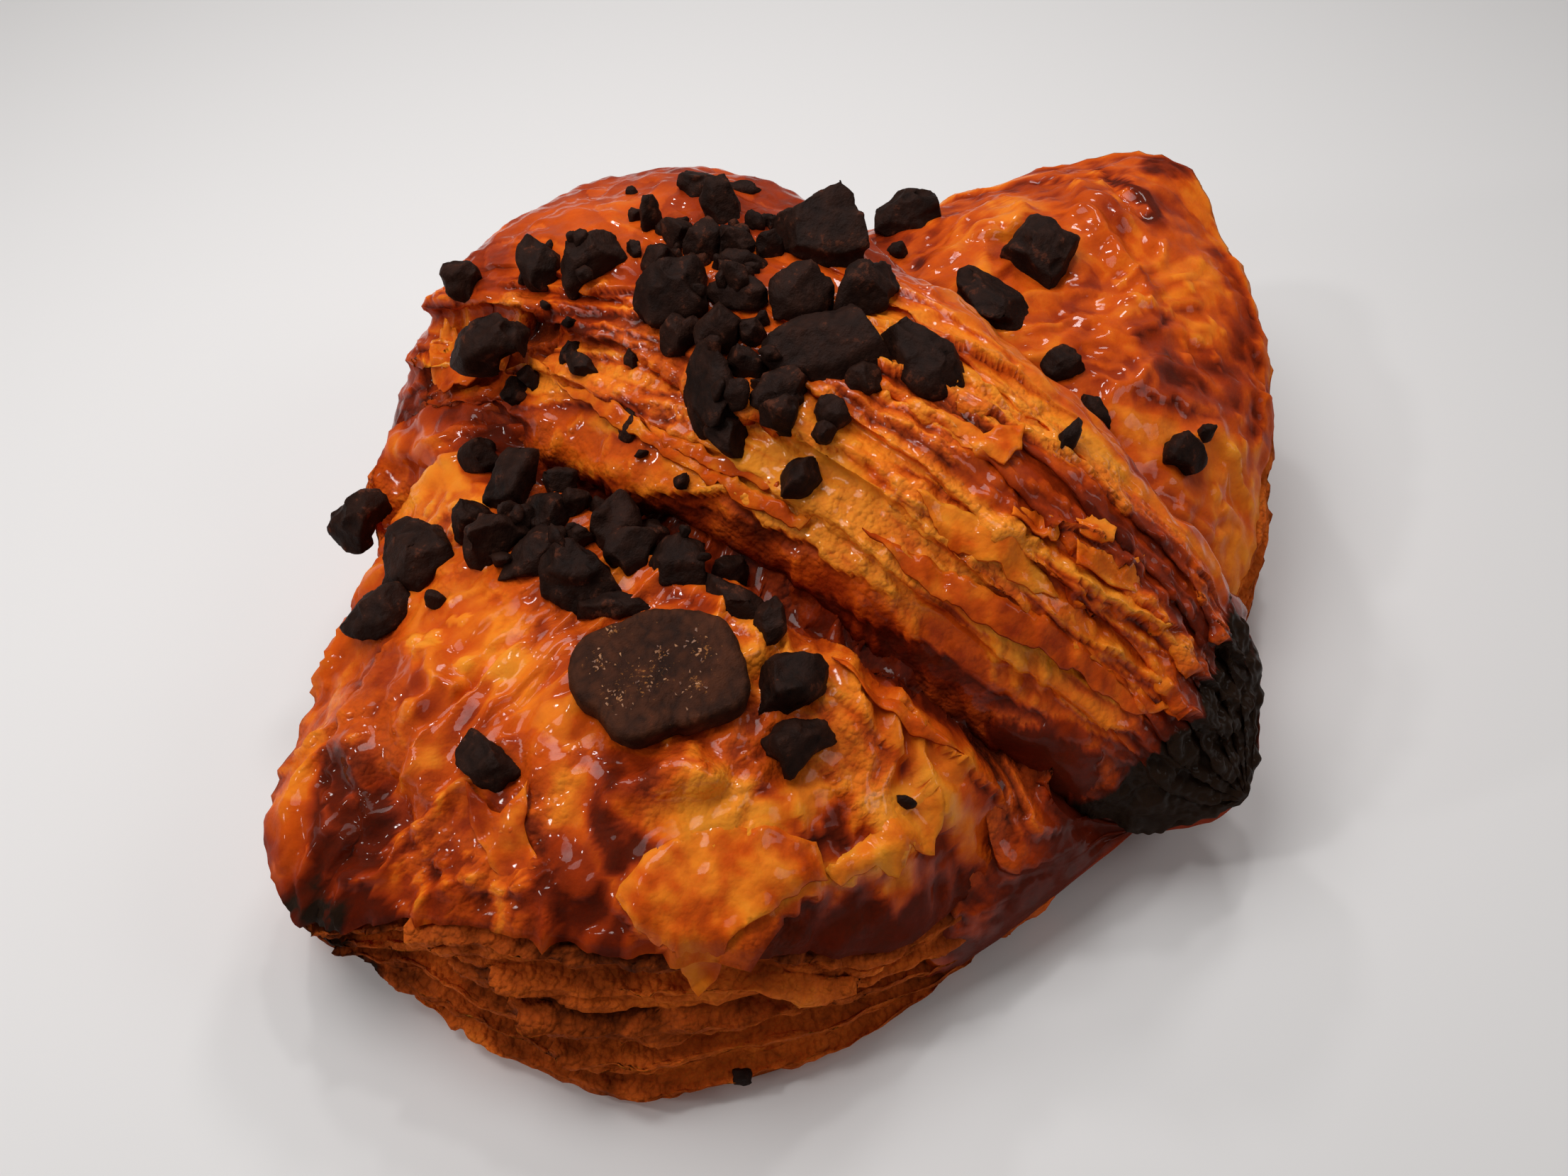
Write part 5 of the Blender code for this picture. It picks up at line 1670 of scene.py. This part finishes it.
def chocolate_finish(name, chocolate, light, dusty, golden=None):
    """Dark chocolate: darker in its pits as painted shade, with reddish dust on the edges that
    stand out, and golden dust of crust where that is painted."""
    finish = Finish(name)
    worn = finish.painted("worn")
    patches = finish.clouds(1.8, 3.0, 0.6)
    dust = (finish.clouds(0.5, 3.0, 0.7) * 0.7 + worn * 0.45).above(dusty, 0.06)
    tint = finish.clouds(9.0, 1.0) * 0.7 - 0.35
    # Darker in random patches, and in the pits as painted shade.
    body = finish.blend(worn * 0.6 + patches * 0.5 + tint, (*chocolate.dark, 1), (*light, 1))
    colour = finish.blend(dust * 0.5, body, (*chocolate.dust, 1))
    if golden:
        speckle = finish.clouds(0.42, 4.0, 0.75) + finish.painted("dusted") * 0.2
        colour = finish.blend(speckle.above(0.72, 0.05) * 0.85, colour, (*golden, 1))
    finish.set(
        base_color=colour,
        roughness=0.5 + patches * 0.2 + dust * 0.1,
        specular_ior_level=0.07,
    )
    finish.bump(finish.clouds(0.6, 3.0, 0.7) + finish.clouds(2.0, 2.0) * 0.6, 0.2)
    return finish.material


def crumb_finish():
    """Golden flakes of crust that fell on the chocolate."""
    finish = Finish("golden_crumb")
    tone = finish.clouds(1.5, 2.0)
    colour = finish.blend(tone.above(0.5, 0.15), (0.12, 0.035, 0.01, 1), (0.36, 0.14, 0.04, 1))
    finish.set(base_color=colour, roughness=0.5)
    return finish.material


def floor_finish(stage):
    """The plain pale table."""
    finish = Finish("pale_table")
    finish.set(base_color=(*stage.floor, 1), roughness=0.75, specular_ior_level=0.2)
    return finish.material


# --- Operators ----------------------------------------------------------------------------------


class CROISSANT_OT_crust(bpy.types.Operator):
    """Make the two lobes and the two flaps folded over them"""

    bl_idname = "croissant.crust"
    bl_label = "Crust"

    def execute(self, context):
        crust = context.scene.croissant_crust
        material = crust_finish(crust)
        meshes = [dough_mesh(crust), flap_mesh(UPPER, crust), flap_mesh(LOWER, crust)]
        paint_contact_shade(meshes)
        for name, mesh in zip(CRUST, meshes, strict=True):
            move_points(mesh, (points_of(mesh) + DRAWN_AT) * MM)
            shade_round(mesh)
            piece(name, mesh, material, "baked_dough", "pastry")
        return {"FINISHED"}


class CROISSANT_OT_flakes(bpy.types.Operator):
    """Lay loose flakes of skin over the crust"""

    bl_idname = "croissant.flakes"
    bl_label = "Flakes"

    def execute(self, context):
        surface = surface_of(CRUST)
        bm = bmesh.new()
        names = ("baked", "glossy", "froth")
        layers = {name: bm.verts.layers.float.new(name) for name in names}
        for seed, row in enumerate(FLAKES):
            flake(bm, layers, surface, seed, row)
        mesh = mesh_of(bm, "flakes")
        shade_round(mesh)
        piece("flakes", mesh, bpy.data.materials["baked_crust"], "baked_dough", "pastry")
        return {"FINISHED"}


class CROISSANT_OT_chunks(bpy.types.Operator):
    """Make the broken chunks of chocolate and the flat coin"""

    bl_idname = "croissant.chunks"
    bl_label = "Chunks and coin"

    def execute(self, context):
        chocolate = context.scene.croissant_chocolate
        chunky = chocolate_finish("broken_chocolate", chocolate, chocolate.light, 0.72)
        smooth = chocolate_finish("coin_chocolate", chocolate, chocolate.coin, 0.8, chocolate.gold)
        nodes = sorted(n for n in FRAME["nodes"] if n != "pastry")
        for number, node in enumerate(nodes):
            is_coin = node == "coin"
            mesh = remeshed(FRAME["nodes"][node].data.copy(), chocolate.grain)
            points = points_of(mesh) / MM
            if is_coin:
                store(mesh, dusted=coin_dust(points))
            seed = 300 + number
            points = coin_form(points) if is_coin else chiselled(points, seed, *CHUNK_CUTS)
            move_points(mesh, points * MM)
            share = COIN_BREAKS if is_coin else CHUNK_BREAKS
            broken(mesh, chocolate.rough_depth * share, 60 + number)
            material = smooth if is_coin else chunky
            piece(f"chocolate_{node}", mesh, material, "dark_chocolate", node)
        return {"FINISHED"}


class CROISSANT_OT_nibs(bpy.types.Operator):
    """Make the nibs of chocolate that are baked onto the crust"""

    bl_idname = "croissant.nibs"
    bl_label = "Nibs"

    def execute(self, context):
        chocolate = context.scene.croissant_chocolate
        surface = surface_of(CRUST)
        chunks = [name for name in bpy.data.objects.keys() if name.startswith("chocolate_chunk")]
        piled = surface_of((*CRUST, *chunks))
        joined = bmesh.new()
        for seed, row in enumerate((*NIBS, *shard_rows())):
            below = surface if seed < len(NIBS) else piled
            place = resting_place(below, *row[:2], NIB_FOOTING)
            if place.translation.z > HIGHEST_SHARD * MM:
                continue
            bm = lump(row, seed)
            bm.transform(place)
            part = remeshed(mesh_of(bm, "nib"), chocolate.grain * NIB_GRAIN)
            points = chiselled(points_of(part) / MM, 500 + seed, *NIB_CUTS)
            move_points(part, points * MM)
            joined.from_mesh(part)
        mesh = broken(mesh_of(joined, "nibs"), chocolate.rough_depth * NIB_BREAKS, 90)
        material = bpy.data.materials["broken_chocolate"]
        piece("nibs", mesh, material, "dark_chocolate", "pastry")
        return {"FINISHED"}


class CROISSANT_OT_crumbs(bpy.types.Operator):
    """Scatter golden crumbs of crust over the coin"""

    bl_idname = "croissant.crumbs"
    bl_label = "Crumbs"

    def execute(self, context):
        rng = random.Random(7)
        surface = surface_of(("chocolate_coin",))
        low, high = (np.array(corner) / MM - DRAWN_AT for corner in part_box("coin"))
        middle = (low + high) / 2
        joined = bmesh.new()
        for heap, spread, count in crumb_heaps(middle):
            for _ in range(count):
                place = scattered(rng, *heap, spread)
                if math.dist(place, middle[:2]) > CRUMB_LIMIT:
                    continue
                frame = resting_place(surface, *place, CRUMB_FOOTING)
                size = rng.uniform(*CRUMB_SIZE)
                verts = []
                for _ in range(CRUMB_CORNERS):
                    corner = Vector([rng.uniform(*reach) for reach in CRUMB_FORM])
                    verts.append(joined.verts.new(corner * size))
                spin = Matrix.Rotation(rng.uniform(0, math.tau), 4, "Z")
                bmesh.ops.transform(joined, matrix=frame @ spin, verts=verts)
                hull = bmesh.ops.convex_hull(joined, input=verts)
                loose = [v for v in hull["geom_interior"] if isinstance(v, bmesh.types.BMVert)]
                bmesh.ops.delete(joined, geom=loose, context="VERTS")
        mesh = mesh_of(joined, "crumbs")
        piece("coin_crumbs", mesh, crumb_finish(), "baked_dough")
        return {"FINISHED"}


class CROISSANT_OT_stage(bpy.types.Operator):
    """Set the floor, the lamps and the camera"""

    bl_idname = "croissant.stage"
    bl_label = "Stage"

    def execute(self, context):
        stage, scene = context.scene.croissant_stage, context.scene
        mesh = bpy.data.meshes.new("table")
        corners = [(TABLE_HALF * x, TABLE_HALF * y, 0) for x, y in TABLE_CORNERS]
        mesh.from_pydata(corners, [], [(0, 1, 2, 3)])
        mesh.materials.append(floor_finish(stage))
        linked("table", mesh)

        world = bpy.data.worlds.new("room")
        world.use_nodes = True
        background = world.node_tree.nodes["Background"]
        background.inputs["Color"].default_value = (*stage.room, 1)
        background.inputs["Strength"].default_value = stage.room_strength
        scene.world = world

        for name, place, size, share in LAMPS:
            data = bpy.data.lights.new(name, "AREA")
            data.shape = "DISK"
            data.size = size
            data.energy = stage.lamp_power * share
            data.spread = math.radians(LAMP_BEAM)
            self.aim(linked(name, data), Vector(place), Vector(LAMPS_AT))

        camera = linked("camera", bpy.data.cameras.new("camera"))
        camera.data.lens = stage.lens
        camera.data.sensor_width = 36.0
        camera.data.clip_start = 0.01
        height, turn = math.radians(stage.view_height), math.radians(VIEW_TURN)
        level = math.cos(height)
        back = Vector((math.sin(turn) * level, -math.cos(turn) * level, math.sin(height)))
        target = in_metres(*VIEW_MIDDLE)
        self.aim(camera, target + back * stage.view_distance, target)
        scene.camera = camera
        scene.view_settings.view_transform = "Standard"
        return {"FINISHED"}

    def aim(self, thing, place, middle):
        """Puts a lamp or the camera at a place and points it at another."""
        thing.location = place
        thing.rotation_euler = (middle - place).to_track_quat("-Z", "Y").to_euler()


class CROISSANT_PT_panel(bpy.types.Panel):
    """Lists the steps that make the croissant"""

    bl_label = "Croissant"
    bl_idname = "CROISSANT_PT_panel"
    bl_space_type = "VIEW_3D"
    bl_region_type = "UI"
    bl_category = "Croissant"

    def draw(self, context):
        for group in ("crust", "chocolate", "stage"):
            settings = getattr(context.scene, f"croissant_{group}")
            box = self.layout.box()
            box.label(text=group.title())
            for name in settings.__annotations__:
                box.prop(settings, name)
        for operator in OPERATORS:
            self.layout.operator(operator.bl_idname)


OPERATORS = (
    CROISSANT_OT_crust,
    CROISSANT_OT_flakes,
    CROISSANT_OT_chunks,
    CROISSANT_OT_nibs,
    CROISSANT_OT_crumbs,
    CROISSANT_OT_stage,
)
CLASSES = (CrustSettings, ChocolateSettings, StageSettings, *OPERATORS, CROISSANT_PT_panel)


def register():
    for cls in CLASSES:
        bpy.utils.register_class(cls)
    bpy.types.Scene.croissant_crust = PointerProperty(type=CrustSettings)
    bpy.types.Scene.croissant_chocolate = PointerProperty(type=ChocolateSettings)
    bpy.types.Scene.croissant_stage = PointerProperty(type=StageSettings)


def unregister():
    del bpy.types.Scene.croissant_stage
    del bpy.types.Scene.croissant_chocolate
    del bpy.types.Scene.croissant_crust
    for cls in reversed(CLASSES):
        bpy.utils.unregister_class(cls)


def main():
    register()
    bpy.ops.croissant.crust()
    bpy.ops.croissant.flakes()
    bpy.ops.croissant.chunks()
    bpy.ops.croissant.nibs()
    bpy.ops.croissant.crumbs()
    bpy.ops.croissant.stage()


if __name__ == "__main__":
    main()
